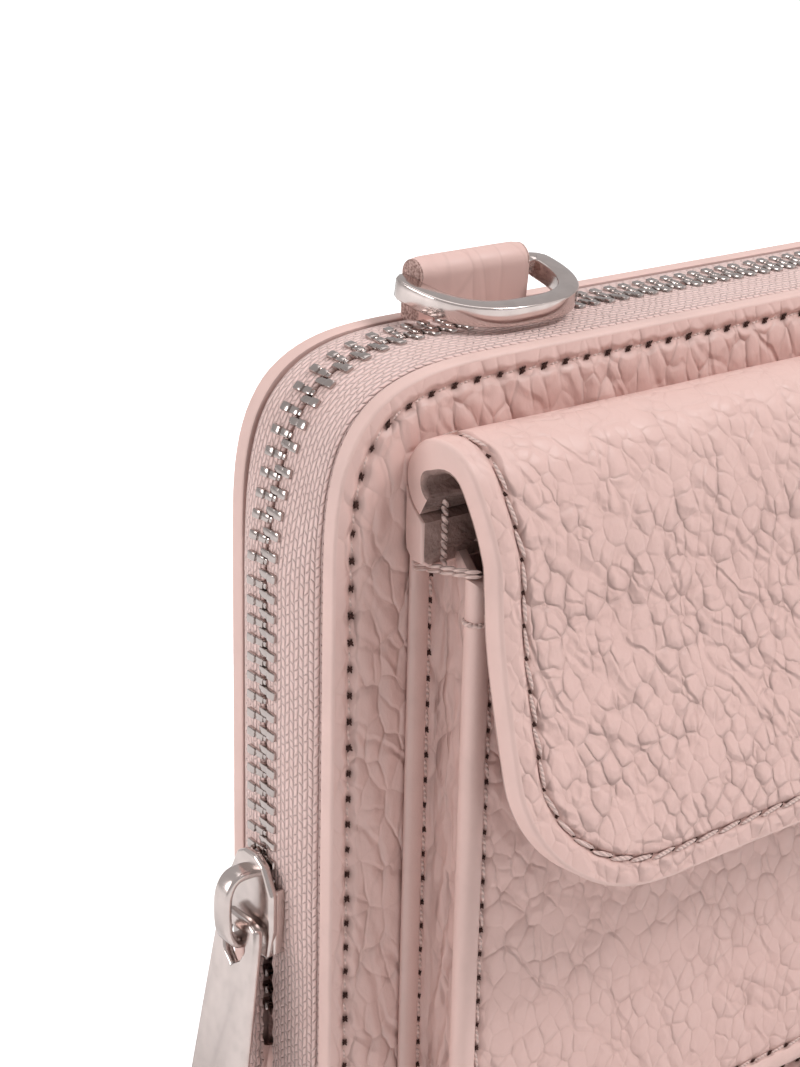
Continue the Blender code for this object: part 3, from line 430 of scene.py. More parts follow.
def creased_shade_leather(name, colour):
    """Leather darkened as painted shade for the inner side of the fold and other shaded hollows, drawn into wrinkles
    across it, with deeper painted shade in their valleys.
    """
    tree, shader, place = new_material(name)
    drawn = node(tree, "ShaderNodeMapping", Vector=place, Scale=(1.0, 1.0, 2.4)).outputs[0]
    fold = fuzz(tree, drawn, 105.0, 3.0, Distortion=0.8)
    height = calc(tree, "MULTIPLY_ADD", fuzz(tree, place, 1400.0, 3.0), 0.12, fold)
    dress(tree, shader, mix_colour(tree, ramp(tree, fold, 0.36, 0.62, 0.9, 0.0), colour, darker(colour, 0.55)), 0.7,
          (height, 1.6 * MM))


def twisted_thread(name):
    tree, shader, place = new_material(name)
    ply = node(tree, "ShaderNodeTexWave", {"bands_direction": "DIAGONAL"}, Vector=place, Scale=900.0,
               Distortion=1.5).outputs["Fac"]
    thread = colours().thread
    dress(tree, shader, mix_colour(tree, calc(tree, "MULTIPLY", ply, 0.7), thread, darker(thread, 0.6)), 0.42,
          (ply, 0.10 * MM), Sheen_Weight=0.2)


# The needle holes' material: painted shade for the dark inside of a hole, on ovals laid in its place.
def needle_hole_shade(name):
    tree, shader, place = new_material(name)
    hole = colours().hole
    dress(tree, shader, mix_colour(tree, fuzz(tree, place, 2500.0), hole, darker(hole, 0.5)), 0.9,
          Specular_IOR_Level=0.1)


def raw_leather_edge(name):
    tree, shader, place = new_material(name)
    fibre = fuzz(tree, place, 2600.0, 5.0)
    dress(tree, shader, mix_colour(tree, ramp(tree, fibre, 0.35, 0.65), (0.24, 0.135, 0.115), (0.56, 0.37, 0.33)), 0.85,
          (fibre, 0.15 * MM))


def nickel_plate(name, roughness, share=1.0):
    """Polished nickel, at a share of its brightness; a share below 1 paints shade into it."""
    tree, shader, place = new_material(name)
    marks = use_group(tree, "handling_marks", Vector=place)
    colour = darker(colours().nickel, share)
    base = mix_colour(tree, ramp(tree, marks["Smear"], 0.35, 0.75, 0.0, 0.5), colour, darker(colour, 0.80))
    dress(tree, shader, base, ramp(tree, marks["Smear"], 0.3, 0.8, roughness, roughness + 0.10),
          (marks["Hairline"], 0.003 * MM), Metallic=1.0)


def grey_board(name):
    tree, shader, place = new_material(name)
    pulp = fuzz(tree, place, 900.0, 5.0)
    dress(tree, shader, mix_colour(tree, pulp, (0.38, 0.36, 0.33), (0.26, 0.24, 0.22)), 0.9, (pulp, 0.05 * MM))


def build_materials():
    for build in (build_pebbled_grain, build_seam_pucker, build_herringbone, build_handling):
        build()
    pebble, crease = sizes().pebble, sizes().crease
    pebbled_leather("flap_leather", pebble * 0.88, crease, (1.0, 1.0, 1.0), line=FLAP_LINE, calm=0.6,
                    smooth_above=(-28 * MM, -15 * MM))
    pebbled_leather("panel_leather", pebble, crease * 0.80, (1.0, 1.0, 0.72), line=PANEL_LINE)
    pebbled_leather("pocket_leather", pebble * 0.95, crease * 0.62, (1.0, 1.0, 0.9), line=POCKET_LINE)
    pebbled_leather("gusset_leather", pebble, crease * 0.9, (1.0, 1.0, 0.45))
    pebbled_leather("tab_leather", pebble * 1.5, crease * 0.16, (1.0, 0.4, 0.4))
    smooth_leather("turned_edge", colours().edge)
    smooth_leather("flesh_side", darker(colours().leather, 0.62), 0.75, 0.06 * MM)
    smooth_leather("slot_leather", darker(colours().leather, 0.9), 0.6, 0.05 * MM)
    # Painted shade: a dark leather for the fold's inside, the leg behind the roll and the gusset's end caps.
    creased_shade_leather("painted_shade_leather", (0.36, 0.232, 0.205))
    raw_leather_edge("raw_edge")
    woven_tape("zip_tape_weave")
    twill_lining("lining_twill")
    twisted_thread("sewing_thread")
    needle_hole_shade("needle_hole_shade")
    nickel_plate("ring_nickel", 0.10)
    # Painted shade: the teeth get a darker copy of the nickel, for the shade among them.
    nickel_plate("tooth_nickel", 0.13, 0.78)
    nickel_plate("puller_nickel", 0.17)
    grey_board("stiffener_board")


def look(name):
    return bpy.data.materials[name]


# ---------------------------------------------------------------- lines and stations

def corner_arc(centre, reach, power, start, steps):
    """A quarter of a rounded corner, counter-clockwise from the start angle."""
    points = []
    for step in range(steps + 1):
        angle = start + math.pi / 2 * step / steps
        across, up = math.cos(angle), math.sin(angle)
        radius = (abs(across) ** power + abs(up) ** power) ** (-1 / power)
        points.append(Vector((centre[0] + reach[0] * radius * across, centre[1] + reach[1] * radius * up)))
    return points


def spaced(points, gap):
    """The points of a line at even distances, with each one's distance from the start."""
    lengths = [0.0]
    for start, end in zip(points, points[1:]):
        lengths.append(lengths[-1] + (end - start).length)
    count = max(1, round(lengths[-1] / gap))
    found, index = [], 0
    for step in range(count + 1):
        wanted = lengths[-1] * step / count
        while index < len(points) - 2 and lengths[index + 1] < wanted:
            index += 1
        run = lengths[index + 1] - lengths[index]
        found.append((points[index].lerp(points[index + 1], (wanted - lengths[index]) / run if run else 0.0), wanted))
    return found


def with_normals(points):
    """Each point of an open flat line with the direction to its right, which is outwards on our outlines."""
    found = []
    for index, point in enumerate(points):
        run = points[min(index + 1, len(points) - 1)] - points[max(index - 1, 0)]
        found.append((point, Vector((run.y, -run.x)).normalized()))
    return found


def case_side(gap):
    """The right half of the case's outline, from the base up to the top."""
    reach = (CORNER_REACH, CORNER_REACH)
    inner = HALF_WIDTH - CORNER_REACH
    points = (corner_arc((inner, CORNER_REACH), reach, CORNER_POWER, -math.pi / 2, 40)
              + corner_arc((inner, HEIGHT - CORNER_REACH), reach, CORNER_POWER, 0.0, 40))
    return with_normals([point for point, _ in spaced(points, gap)])


def strip_side(half, bottom, top, corner, gap, steps=16):
    """The right half of a strip's outline with two rounded lower corners and square upper ones."""
    points = (corner_arc((half - corner[0], bottom + corner[1]), corner, 2.0, -math.pi / 2, steps)
              + [Vector((half, top))])
    side = with_normals([point for point, _ in spaced(points, gap)])
    side[0] = (side[0][0], Vector((0.0, -1.0)))
    side[-1] = (side[-1][0], Vector((1.0, 1.0)))
    return side


def kept_unit(value):
    """A value kept between 0 and 1."""
    return min(1.0, max(0.0, value))


def zip_sink(point):
    """How much deeper the zip sits at a point of its run: along the top, and most at the corners."""
    share = kept_unit((point.y - HEIGHT + CORNER_REACH) / (0.62 * CORNER_REACH))
    corner = max(0.0, 1.0 - abs(abs(point.x) - HALF_WIDTH + 0.175 * CORNER_REACH) / (0.5 * CORNER_REACH))
    return (1.4 + 0.4 * corner) * MM * share * share * (3 - 2 * share)


def zip_line(gap):
    """The zip's run from its right end, up, over the top and down to its left end."""
    reach = (CORNER_REACH, CORNER_REACH)
    inner, rise = HALF_WIDTH - CORNER_REACH, HEIGHT - CORNER_REACH
    points = ([Vector((HALF_WIDTH, ZIP_END))] + corner_arc((inner, rise), reach, CORNER_POWER, 0.0, 60)
              + corner_arc((-inner, rise), reach, CORNER_POWER, math.pi / 2, 60) + [Vector((-HALF_WIDTH, ZIP_END))])
    return spaced([point - out * zip_sink(point) for point, out in with_normals(points)], gap)


# ---------------------------------------------------------------- mesh helpers

def mesh_of(bm, name):
    mesh = bpy.data.meshes.new(name)
    bm.to_mesh(mesh)
    bm.free()
    return mesh


def thicken(bm, faces, thickness):
    """Extrudes flat faces upwards and gives the new vertices."""
    grown = bmesh.ops.extrude_face_region(bm, geom=faces)["geom"]
    tops = [item for item in grown if isinstance(item, bmesh.types.BMVert)]
    bmesh.ops.translate(bm, verts=tops, vec=(0.0, 0.0, thickness))
    return tops


def round_off(bm, edges, radius, segments=3):
    """Rounds edges and gives the new vertices."""
    return bmesh.ops.bevel(bm, geom=edges, offset=radius, offset_type="OFFSET", segments=segments, profile=0.5,
                           affect="EDGES", clamp_overlap=True, material=-1)["verts"]


def layer(bm, name, kind="float"):
    layers = getattr(bm.verts.layers, kind)
    return layers.get(name) or layers.new(name)


def sweep(bm, stations, section, closed_path=False, closed_section=False):
    """Carries a section along stations by extruding its edges. A station is (origin, out, side, distance),
    and the section, which may be a function of the station's index, is a list of (out, side) lengths."""
    row, along, across = layer(bm, "row", "int"), layer(bm, "along"), layer(bm, "across")

    def seat(verts, index):
        origin, out, side, distance = stations[index]
        points = section(index) if callable(section) else section
        for vert in verts:
            first, second = points[vert[row]]
            vert.co = origin + out * first + side * second
            vert[along] = distance

    points = section(0) if callable(section) else section
    verts = [bm.verts.new() for _ in points]
    walked = 0.0
    for index, vert in enumerate(verts):
        vert[row] = index
        if index:
            walked += (Vector(points[index]) - Vector(points[index - 1])).length
        vert[across] = walked
    pairs = list(zip(verts, verts[1:])) + ([(verts[-1], verts[0])] if closed_section else [])
    edges = [bm.edges.new(pair) for pair in pairs]
    first_edges = list(edges)
    seat(verts, 0)
    for index in range(1, len(stations)):
        grown = bmesh.ops.extrude_edge_only(bm, edges=edges)["geom"]
        verts = [item for item in grown if isinstance(item, bmesh.types.BMVert)]
        new = set(verts)
        edges = [item for item in grown if isinstance(item, bmesh.types.BMEdge)
                 and item.verts[0] in new and item.verts[1] in new]
        seat(verts, index)
    if closed_path:
        bmesh.ops.remove_doubles(bm, verts=bm.verts, dist=0.002 * MM)
    elif closed_section:
        for loop in (first_edges, edges):
            bmesh.ops.contextual_create(bm, geom=loop)


def finish_piece(bm, name, looks, body, stands_for=(), slot=None, sharp=50.0, ride=True):
    """Makes the object of a finished mesh, gives it its materials, and hangs it on its body when it rides."""
    bmesh.ops.recalc_face_normals(bm, faces=bm.faces)
    if bm.calc_volume(signed=True) < 0:
        bmesh.ops.reverse_faces(bm, faces=bm.faces)
    stale = bm.verts.layers.int.get("row")
    if stale is not None:
        bm.verts.layers.int.remove(stale)
    mesh = mesh_of(bm, name)
    mesh.shade_smooth()
    mesh.set_sharp_from_angle(angle=math.radians(sharp))
    for material in looks:
        mesh.materials.append(look(material))
    piece = bpy.data.objects.new(name, mesh)
    bpy.context.scene.collection.objects.link(piece)
    if ride:
        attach(piece, body)
    if stands_for:
        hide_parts(*stands_for)
    slot or (stands_for[0] if stands_for else name)
    return piece


def leather_slab(side, section, cuts, bend, seam=None, bare=0.45 * MM):
    """A slab from the right half of its outline. The section runs from the face, over the edge, to the rear, as
    (outwards, height) lengths. Cross edges are cut, and each point is then bent from (across, up, height) to place.
    The seam is (inset, pitch, whole), and bare is the width of the smooth edge."""
    bm = bmesh.new()
    inset, seamed = layer(bm, "inset"), layer(bm, "seam")
    mirrored = [(Vector((-point.x, point.y)), Vector((-out.x, out.y))) for point, out in reversed(side)]
    if seam:
        stitch_inset, pitch, whole = seam
        line = seam_line(side, stitch_inset, whole)
        step, _ = seam_step(line, pitch, whole)
        marks, walked = [], line[1].x
        for index in range(len(side)):
            if 0 < index < len(line) - 1 - whole:
                walked += (line[index + 1] - line[index]).length
            marks.append(walked / step)
        top_x, foot_x = line[-2].x if whole else 0.0, line[1].x
    else:
        marks, step, top_x, foot_x = [0.0] * len(side), 1.0, 0.0, 0.0
    run = marks + [-mark for mark in reversed(marks)] + marks[:1]
    stations = [(Vector((point.x, point.y, 0.0)), Vector((out.x, out.y, 0.0)), Vector((0.0, 0.0, 1.0)), mark)
                for (point, out), mark in zip(side + mirrored + side[:1], run)]
    row, along, across = layer(bm, "row", "int"), layer(bm, "along"), layer(bm, "across")
    sweep(bm, stations, section, closed_path=True)
    wide = max(point.x for point, _ in side)
    bottom, top = side[0][0].y, side[-1][0].y
    for vert in bm.verts:
        vert[inset] = reach = section[vert[row]][0]
        vert[seamed] = vert[along]
        vert.co.x = max(-wide - reach, min(wide + reach, vert.co.x))
        vert.co.y = max(bottom - reach, min(top + reach, vert.co.y))
    bmesh.ops.remove_doubles(bm, verts=bm.verts, dist=0.002 * MM)
    for wanted in (0, len(section) - 1):
        sides = [edge for edge in bm.edges if edge.verts[0][row] == edge.verts[1][row] == wanted
                 and edge.verts[0].co.x * edge.verts[1].co.x > 0]
        bmesh.ops.bridge_loops(bm, edges=sides)
    crossing = [edge for edge in bm.edges if edge.verts[0].co.x * edge.verts[1].co.x < 0]
    bmesh.ops.subdivide_edges(bm, edges=crossing, cuts=cuts, use_grid_fill=True)
    bmesh.ops.recalc_face_normals(bm, faces=bm.faces)
    thickness = section[0][1] - section[-1][1]
    for face in bm.faces:
        depth = sum(vert.co.z for vert in face.verts) / len(face.verts)
        edge = sum(vert[inset] for vert in face.verts) / len(face.verts)
        face.material_index = 2 if section[0][1] - depth > 0.93 * thickness else 1 if edge > -bare else 0
    middle = (bottom + top) / 2
    for vert in bm.verts:
        if seam and vert.co.y < middle and abs(vert.co.x) < foot_x - 0.01 * MM:
            vert[seamed] = vert.co.x / step
        elif top_x and vert.co.y > middle and abs(vert.co.x) < top_x - 0.01 * MM:
            vert[seamed] = math.copysign(marks[-1] + (top_x - abs(vert.co.x)) / step, vert.co.x)
        vert[along], vert[across] = vert.co.y, vert.co.x
        vert.co = bend(vert.co.x, vert.co.y, vert.co.z)
    return bm


def rounded_bar(thick, wide, radius):
    """The closed section of a bar with rounded edges."""
    steps, points = 3, []
    for index, (first, second) in enumerate(((1, 1), (-1, 1), (-1, -1), (1, -1))):
        for step in range(steps + 1):
            angle = math.pi / 2 * (index + step / steps)
            points.append((first * (thick / 2 - radius) + radius * math.cos(angle),
                           second * (wide / 2 - radius) + radius * math.sin(angle)))
    return points


def bend_smooth(points, steps):
    """A smooth line through points."""
    found = []
    for index in range(len(points) - 1):
        before, start = points[max(index - 1, 0)], points[index]
        end, after = points[index + 1], points[min(index + 2, len(points) - 1)]
        for step in range(steps):
            share = step / steps
            found.append(0.5 * (2 * start + (end - before) * share
                                + (2 * before - 5 * start + 4 * end - after) * share ** 2
                                + (3 * start - before - 3 * end + after) * share ** 3))
    return found + [points[-1]]


def cloth_section():
    """The section of a cloth's rim."""
    half, reach = CLOTH_THICK / 2, 4 * MM
    return [(-reach, half), (-half, half), (-half * 0.3, half * 0.7), (0.0, 0.0), (-half * 0.3, -half * 0.7),
            (-half, -half), (-reach, -half)]


def on_plane(middle, sign):
    """Places a flat point of a sheet on an upright plane, with its face towards the sign's side."""
    return lambda across, up, height: Vector((across, middle + sign * height, up))


def plate(bm, outline, thickness, matrix, roundness, segments=3):
    """A plate from a flat outline, with its edges rounded."""
    verts = [bm.verts.new((point[0], point[1], -thickness / 2)) for point in outline]
    members = verts + thicken(bm, [bm.faces.new(verts)], thickness)
    rounded = round_off(bm, list({edge for vert in members for edge in vert.link_edges}), roundness, segments)
    every = list({vert for vert in rounded + [item for item in members if item.is_valid]})
    bmesh.ops.transform(bm, verts=every, matrix=matrix)


def rectangle(half, bottom, top):
    """The flat outline of a rectangle."""
    return [(-half, bottom), (half, bottom), (half, top), (-half, top)]


def upright_stations(line, facing, depth=0.0):
    """Stations along an upright flat line at a depth, with the section's side axis forward or back."""
    flat = with_normals([point for point, _ in line])
    return [(Vector((point.x, depth, point.y)), Vector((out.x, 0.0, out.y)), Vector((0.0, facing, 0.0)), distance)
            for (point, out), (_, distance) in zip(flat, line)]


def slab_section(thickness, roundness, reach, groove_at=None, groove_depth=0.35 * MM, puff=0.1 * MM, core=None):
    """The section of a leather slab's rim: face, stitch groove, rounded edge and rear. The core is the thickness
    of its middle."""
    points = [(-reach, puff)]
    if groove_at:
        wide = 0.55 * MM
        points += [(-groove_at - 2.6 * wide, puff), (-groove_at - 1.3 * wide, puff * 0.3),
                   (-groove_at - 0.5 * wide, -groove_depth * 0.8), (-groove_at, -groove_depth),
                   (-groove_at + 0.5 * wide, -groove_depth * 0.75), (-groove_at + 1.2 * wide, puff * 0.1),
                   (-groove_at + 2.2 * wide, puff * 0.6)]
    for step in range(5):
        angle = math.pi / 2 * step / 4
        points.append((-roundness * (1 - math.sin(angle)), -roundness * (1 - math.cos(angle))))
    for step in range(5):
        angle = math.pi / 2 * step / 4
        points.append((-roundness * (1 - math.cos(angle)), -thickness + roundness * (1 - math.sin(angle))))
    if core:
        points.append((-reach * 0.62, -thickness))
    return points + [(-reach, -(core or thickness))]


def seam_line(side, inset, whole):
    """The right half of a stitch line at an inset from an outline, from the middle of its foot."""
    points = [point - out * inset for point, out in side if out.length < 1.2]
    return [Vector((0.0, points[0].y))] + points + ([Vector((0.0, points[-1].y))] if whole else [])


def seam_step(line, pitch, whole):
    """The stitch length that fits a stitch line, and the length of its half."""
    length = sum((end - start).length for start, end in zip(line, line[1:]))
    return (2 * length / round(2 * length / pitch) if whole else pitch), length


def seam_places(side, inset, pitch, bend, height=0.0, whole=False, shift=0.0, skip=0.0):
    """Places along a stitch line, each with its surface normal and its run. The shift is a share of a stitch."""
    line = seam_line(side, inset, whole)
    step, length = seam_step(line, pitch, whole)
    marks = [0.0]
    for start, end in zip(line, line[1:]):
        marks.append(marks[-1] + (end - start).length)

    def at(distance):
        away, index = abs(distance), 0
        while index < len(line) - 2 and marks[index + 1] < away:
            index += 1
        run = marks[index + 1] - marks[index]
        point = line[index].lerp(line[index + 1], (away - marks[index]) / run if run else 0.0)
        return Vector((math.copysign(point.x, distance), point.y))

    found, small = [], 0.05 * MM
    limit, count = length - skip, int(length / step) + 1
    for number in range(-count, count + 1):
        distance = (number + shift) * step
        if not -limit + 0.01 * MM < distance < limit + 0.01 * MM:
            continue
        point, after, before = at(distance), at(distance + small), at(distance - small)
        place = bend(point.x, point.y, height)
        normal = (bend(point.x, point.y, height + small) - place).normalized()
        run = (bend(after.x, after.y, height) - bend(before.x, before.y, height)).normalized()
        found.append((place, normal, run))
    return found


def oval_mesh(detail):
    """A round grain that ovals scale: few faces, because it is repeated hundreds of times."""
    bm = bmesh.new()
    bmesh.ops.create_uvsphere(bm, u_segments=detail[0], v_segments=detail[1], radius=0.5)
    return mesh_of(bm, "oval")


def scatter(bm, template, placings):
    """Puts a copy of a mesh at each placing."""
    for placing in placings:
        start = len(bm.verts)
        bm.from_mesh(template)
        bm.verts.ensure_lookup_table()
        bmesh.ops.transform(bm, verts=bm.verts[start:], matrix=placing)


def ovals(bm, places, size, turn=0.0, sink=0.0, uneven=0.0, detail=(8, 5)):
    """Small rounded ovals along stitch places: threads, or the holes between them, whose dark colour is painted shade.
    """
    placings = []
    for place, normal, run in places:
        stray = uneven * noise.noise(place / (0.9 * MM))
        side = normal.cross(run).normalized()
        turned = (run * math.cos(turn + stray) + side * math.sin(turn + stray)).normalized()
        axes = Matrix((turned, normal.cross(turned).normalized(), normal)).transposed().to_4x4()
        grown = [length * (1.0 + 0.5 * stray) for length in size]
        placings.append(Matrix.Translation(place - normal * sink) @ axes @ Matrix.Diagonal((*grown, 1.0)))
    template = oval_mesh(detail)
    scatter(bm, template, placings)
    bpy.data.meshes.remove(template)


def sew(name, places, gaps, pitch, body, slot, thread=(0.8, 1.0), turn=0.16, sink=0.10 * MM, hole=(1.0, 0.62),
        hole_turn=0.5, hole_sink=0.08 * MM):
    """A line of stitches: the threads, and the torn needle holes in the gaps between them, as dark ovals of painted
    shade.
    """
    thick = sizes().thread
    bm = bmesh.new()
    ovals(bm, places, (pitch * thread[0], thick * thread[1], thick * 0.8), turn=turn, sink=sink, uneven=0.12)
    finish_piece(bm, name, ["sewing_thread"], body, slot=slot)
    bm = bmesh.new()
    for share, turned in ((1.0, hole_turn), (0.72, hole_turn - 1.25), (0.62, hole_turn + 0.8)):
        ovals(bm, gaps, (hole[0] * share * MM, hole[1] * 0.8 * MM, 0.30 * MM), turn=turned,
              sink=hole_sink + (1.0 - share) * 0.05 * MM, uneven=0.7, detail=(8, 4))
    finish_piece(bm, name + "_holes", ["needle_hole_shade"], body, slot=slot)


def ripple(place, size, height):
    """A soft unevenness of hand-worked leather, the same on each run."""
    return noise.noise(place / size) * height


# ---------------------------------------------------------------- pieces

def on_front(face, soft=0.0):
    """Places a flat point on an upright face that looks forward."""
    def bend(across, up, height):
        swell = ripple(Vector((across, 0.0, up)), 14 * MM, soft) if height > -0.5 * MM else 0.0
        return Vector((across, face - height - swell, up))
    return bend


def on_back(face, dome=0.0):
    """Places a flat point on an upright face that looks backward, domed a little at its middle."""
    def bend(across, up, height):
        rise = 0.0
        if height > -0.6 * MM:
            edge = min(HALF_WIDTH - abs(across), up, HEIGHT - up)
            rise = dome * kept_unit((edge - 3.5 * MM) / (40 * MM)) ** 0.5
            rise += ripple(Vector((across, 30 * MM, up)), 20 * MM, 0.05 * MM)
        return Vector((across, face + height + rise, up))
    return bend


def build_panels():
    side = case_side(1.5 * MM)
    section = slab_section(PANEL_THICK, 0.42 * MM, 8 * MM, groove_at=PANEL_LINE, groove_depth=0.34 * MM)
    pitch = sizes().panel_stitch
    for label, bend, body in (("front", on_front(FRONT_FACE, 0.05 * MM), "front_shell"),
                              ("back", on_back(BACK_FACE, 0.45 * MM), "back_shell")):
        bm = leather_slab(side, section, 70, bend, seam=(PANEL_LINE, pitch, True))
        finish_piece(bm, f"{label}_panel_leather", ["panel_leather", "turned_edge", "flesh_side"], body,
                     [f"{label}_panel"])
        places, gaps = (seam_places(side, PANEL_LINE, pitch, bend, -0.30 * MM, True, shift) for shift in (0.5, 0.0))
        sew(f"{label}_panel_stitches", places, gaps, pitch, body, f"{label}_panel", thread=(0.66, 0.8),
            sink=0.16 * MM, hole=(1.35, 0.34), hole_sink=-0.17 * MM)
    for label in ("front", "back"):
        for material_slot in frame["nodes"][f"{label}_board"].material_slots:
            material_slot.material = look("stiffener_board")


def parted(place):
    """How far the zip is open at a point of its run: 0 above the slider and 1 well below it."""
    if place.x > 0 or place.y > SLIDER_Z:
        return 0.0
    share = min(1.0, (SLIDER_Z - place.y) / (9 * MM))
    return share * share * (3 - 2 * share)


def build_zip_tapes():
    line = zip_line(0.65 * MM)
    for label, inner, facing, body in (("front", -FRONT_INNER, -1.0, "front_shell"),
                                       ("back", BACK_INNER, 1.0, "back_shell")):
        stations = upright_stations(line, facing)

        def section(index):
            origin, _, _, distance = stations[index]
            flat_place = Vector((origin.x, origin.z))
            open_share, sink = parted(flat_place), zip_sink(flat_place)
            edge = (0.10 + 1.40 * open_share) * MM
            wide = inner - 0.3 * MM - edge
            bump = 0.13 * MM * open_share * math.cos(2 * math.pi * distance / TOOTH_PITCH)
            shares = ((-1.6, 1.0), (-0.5, 0.985), (0.15, 0.93), (0.65, 0.82), (1.10, 0.68), (1.40, 0.52),
                      (1.62, 0.36), (1.68, 0.24), (1.60, 0.12), (1.42, 0.04), (1.10, 0.0))
            outer = [(rise * MM + sink * share ** 3 + bump * max(0.0, 1.0 - 2.2 * share), edge + wide * share)
                     for rise, share in shares]
            inside = [(rise - 0.55 * MM, depth - 0.02 * MM * step) for step, (rise, depth) in enumerate(outer)]
            inside[-1] = (outer[-1][0] - 0.5 * MM, outer[-1][1] + 0.05 * MM)
            return outer + inside[::-1]

        bm = bmesh.new()
        sweep(bm, stations, section, closed_section=True)
        finish_piece(bm, f"{label}_tape", ["zip_tape_weave"], body, [f"{label}_zip_tape"], sharp=80)


def tooth_mesh():
    """One cast tooth: its shanks clamp the tape, and its head reaches over the middle of the zip."""
    bm = bmesh.new()
    parts = (((1.15, 1.5, 1.75), (0.0, 2.1, 1.32)), ((1.0, 1.9, 1.35), (0.0, 0.72, 1.30)),
             ((0.78, 0.8, 1.1), (0.0, -0.35, 1.28)))
    for size, place in parts:
        made = bmesh.ops.create_cube(bm, size=1.0)["verts"]
        bmesh.ops.transform(bm, verts=made, matrix=Matrix.Translation(Vector(place) * MM)
                            @ Matrix.Diagonal((*(Vector(size) * MM), 1.0)))
    round_off(bm, bm.edges[:], 0.20 * MM, segments=2)
    return mesh_of(bm, "tooth")


def build_zip_teeth():
    template = tooth_mesh()
    line = zip_line(0.5 * MM)
    flat = with_normals([point for point, _ in line])
    lengths = [distance for _, distance in line]
    ends = 4.6 * MM
    for label, facing, lead, sink, body in (("back", 1.0, 0.0, BACK_TEETH_SUNK, "back_shell"),
                                            ("front", -1.0, 0.5, FRONT_TEETH_SUNK, "front_shell")):
        bm = bmesh.new()
        count = int((lengths[-1] - 2 * ends) / TOOTH_PITCH)
        for tooth in range(count):
            wanted = ends + (tooth + lead) * TOOTH_PITCH
            index = min(range(len(lengths)), key=lambda item: abs(lengths[item] - wanted))
            point, out = flat[index]
            run = Vector((-out.y, 0.0, out.x))
            outward, depth = Vector((out.x, 0.0, out.y)), Vector((0.0, facing, 0.0))
            open_share = parted(point)
            lean = Matrix.Rotation(-0.20 * open_share * facing, 4, "X")
            axes = Matrix((run, depth, outward)).transposed().to_4x4()
            place = Vector((point.x, 0.0, point.y)) + (depth * 0.95 * MM - outward * sink) * open_share
            scatter(bm, template, [Matrix.Translation(place) @ axes @ lean])
        finish_piece(bm, f"{label}_tooth_row", ["tooth_nickel"], body, [f"{label}_teeth"], sharp=30)
    bpy.data.meshes.remove(template)
    for name, sink, body in (("top_stop_back", STOPS_SUNK, "back_shell"),
                             ("top_stop_front", STOPS_SUNK, "front_shell"), ("bottom_stop", 0.0, "back_shell")):
        box_low, box_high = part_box(name)
        size = box_high - box_low
        clip = rectangle(size.y / 2, -size.z / 2, size.z / 2)
        bm = bmesh.new()
        place = (box_low + box_high) / 2 + Vector((sink, 0.0, 0.0))
        plate(bm, clip, size.x, Matrix.Translation(place) @ FACING_LEFT, 0.35 * MM)
        finish_piece(bm, f"{name}_clip", ["tooth_nickel"], body, [name], sharp=35)


def build_slider():
    half, wide = (SLIDER_HIGH.z - SLIDER_LOW.z) / 2, (SLIDER_HIGH.y - SLIDER_LOW.y) / 2
    outer_face = HALF_WIDTH + TEETH_HIGH + 0.3 * MM
    bm = bmesh.new()

    def part(outline, thickness, x, y, roundness):
        plate(bm, outline, thickness, Matrix.Translation((x, y, SLIDER_Z)) @ FACING_LEFT, roundness)

    shield = [(-wide * 0.80, -half), (wide * 0.80, -half), (wide * 0.98, -half * 0.45), (wide, half * 0.35),
              (wide * 0.62, half * 0.86), (wide * 0.25, half), (-wide * 0.25, half), (-wide * 0.62, half * 0.86),
              (-wide, half * 0.35), (-wide * 0.98, -half * 0.45)]
    part(shield, 1.25 * MM, -outer_face - 0.62 * MM, 0.0, 0.45 * MM)
    part([(across * 0.74, up * 0.97) for across, up in shield], 1.1 * MM, -HALF_WIDTH + 0.75 * MM, 0.0, 0.3 * MM)
    for sign in (-1.0, 1.0):
        part(rectangle(0.45 * MM, -half * 0.9, half * 0.42), 1.9 * MM, -outer_face + 0.35 * MM, sign * wide * 0.86,
             0.25 * MM)
    part(rectangle(0.4 * MM, -half * 0.95, -half * 0.45), 3.0 * MM, -HALF_WIDTH - 1.3 * MM, 0.0, 0.12 * MM)
    reach, rise = 4.7 * MM, -SLIDER_LOW.x - outer_face - 1.2 * MM
    foot = Vector((-outer_face - 0.9 * MM, SLIDER_Z - 0.4 * MM))
    route = [foot + Vector((-rise * away, reach * up)) for away, up in (
        (0.0, 1.0), (0.62, 0.97), (0.93, 0.62), (1.0, 0.0), (0.93, -0.62), (0.62, -0.97), (0.0, -1.0))]
    stations = upright_stations([(point, 0.0) for point in bend_smooth(route, 5)], 1.0)
    sweep(bm, stations, rounded_bar(1.15 * MM, 2.9 * MM, 0.45 * MM), closed_section=True)
    finish_piece(bm, "zip_slider", ["puller_nickel"], "slider", ["slider"], sharp=40)


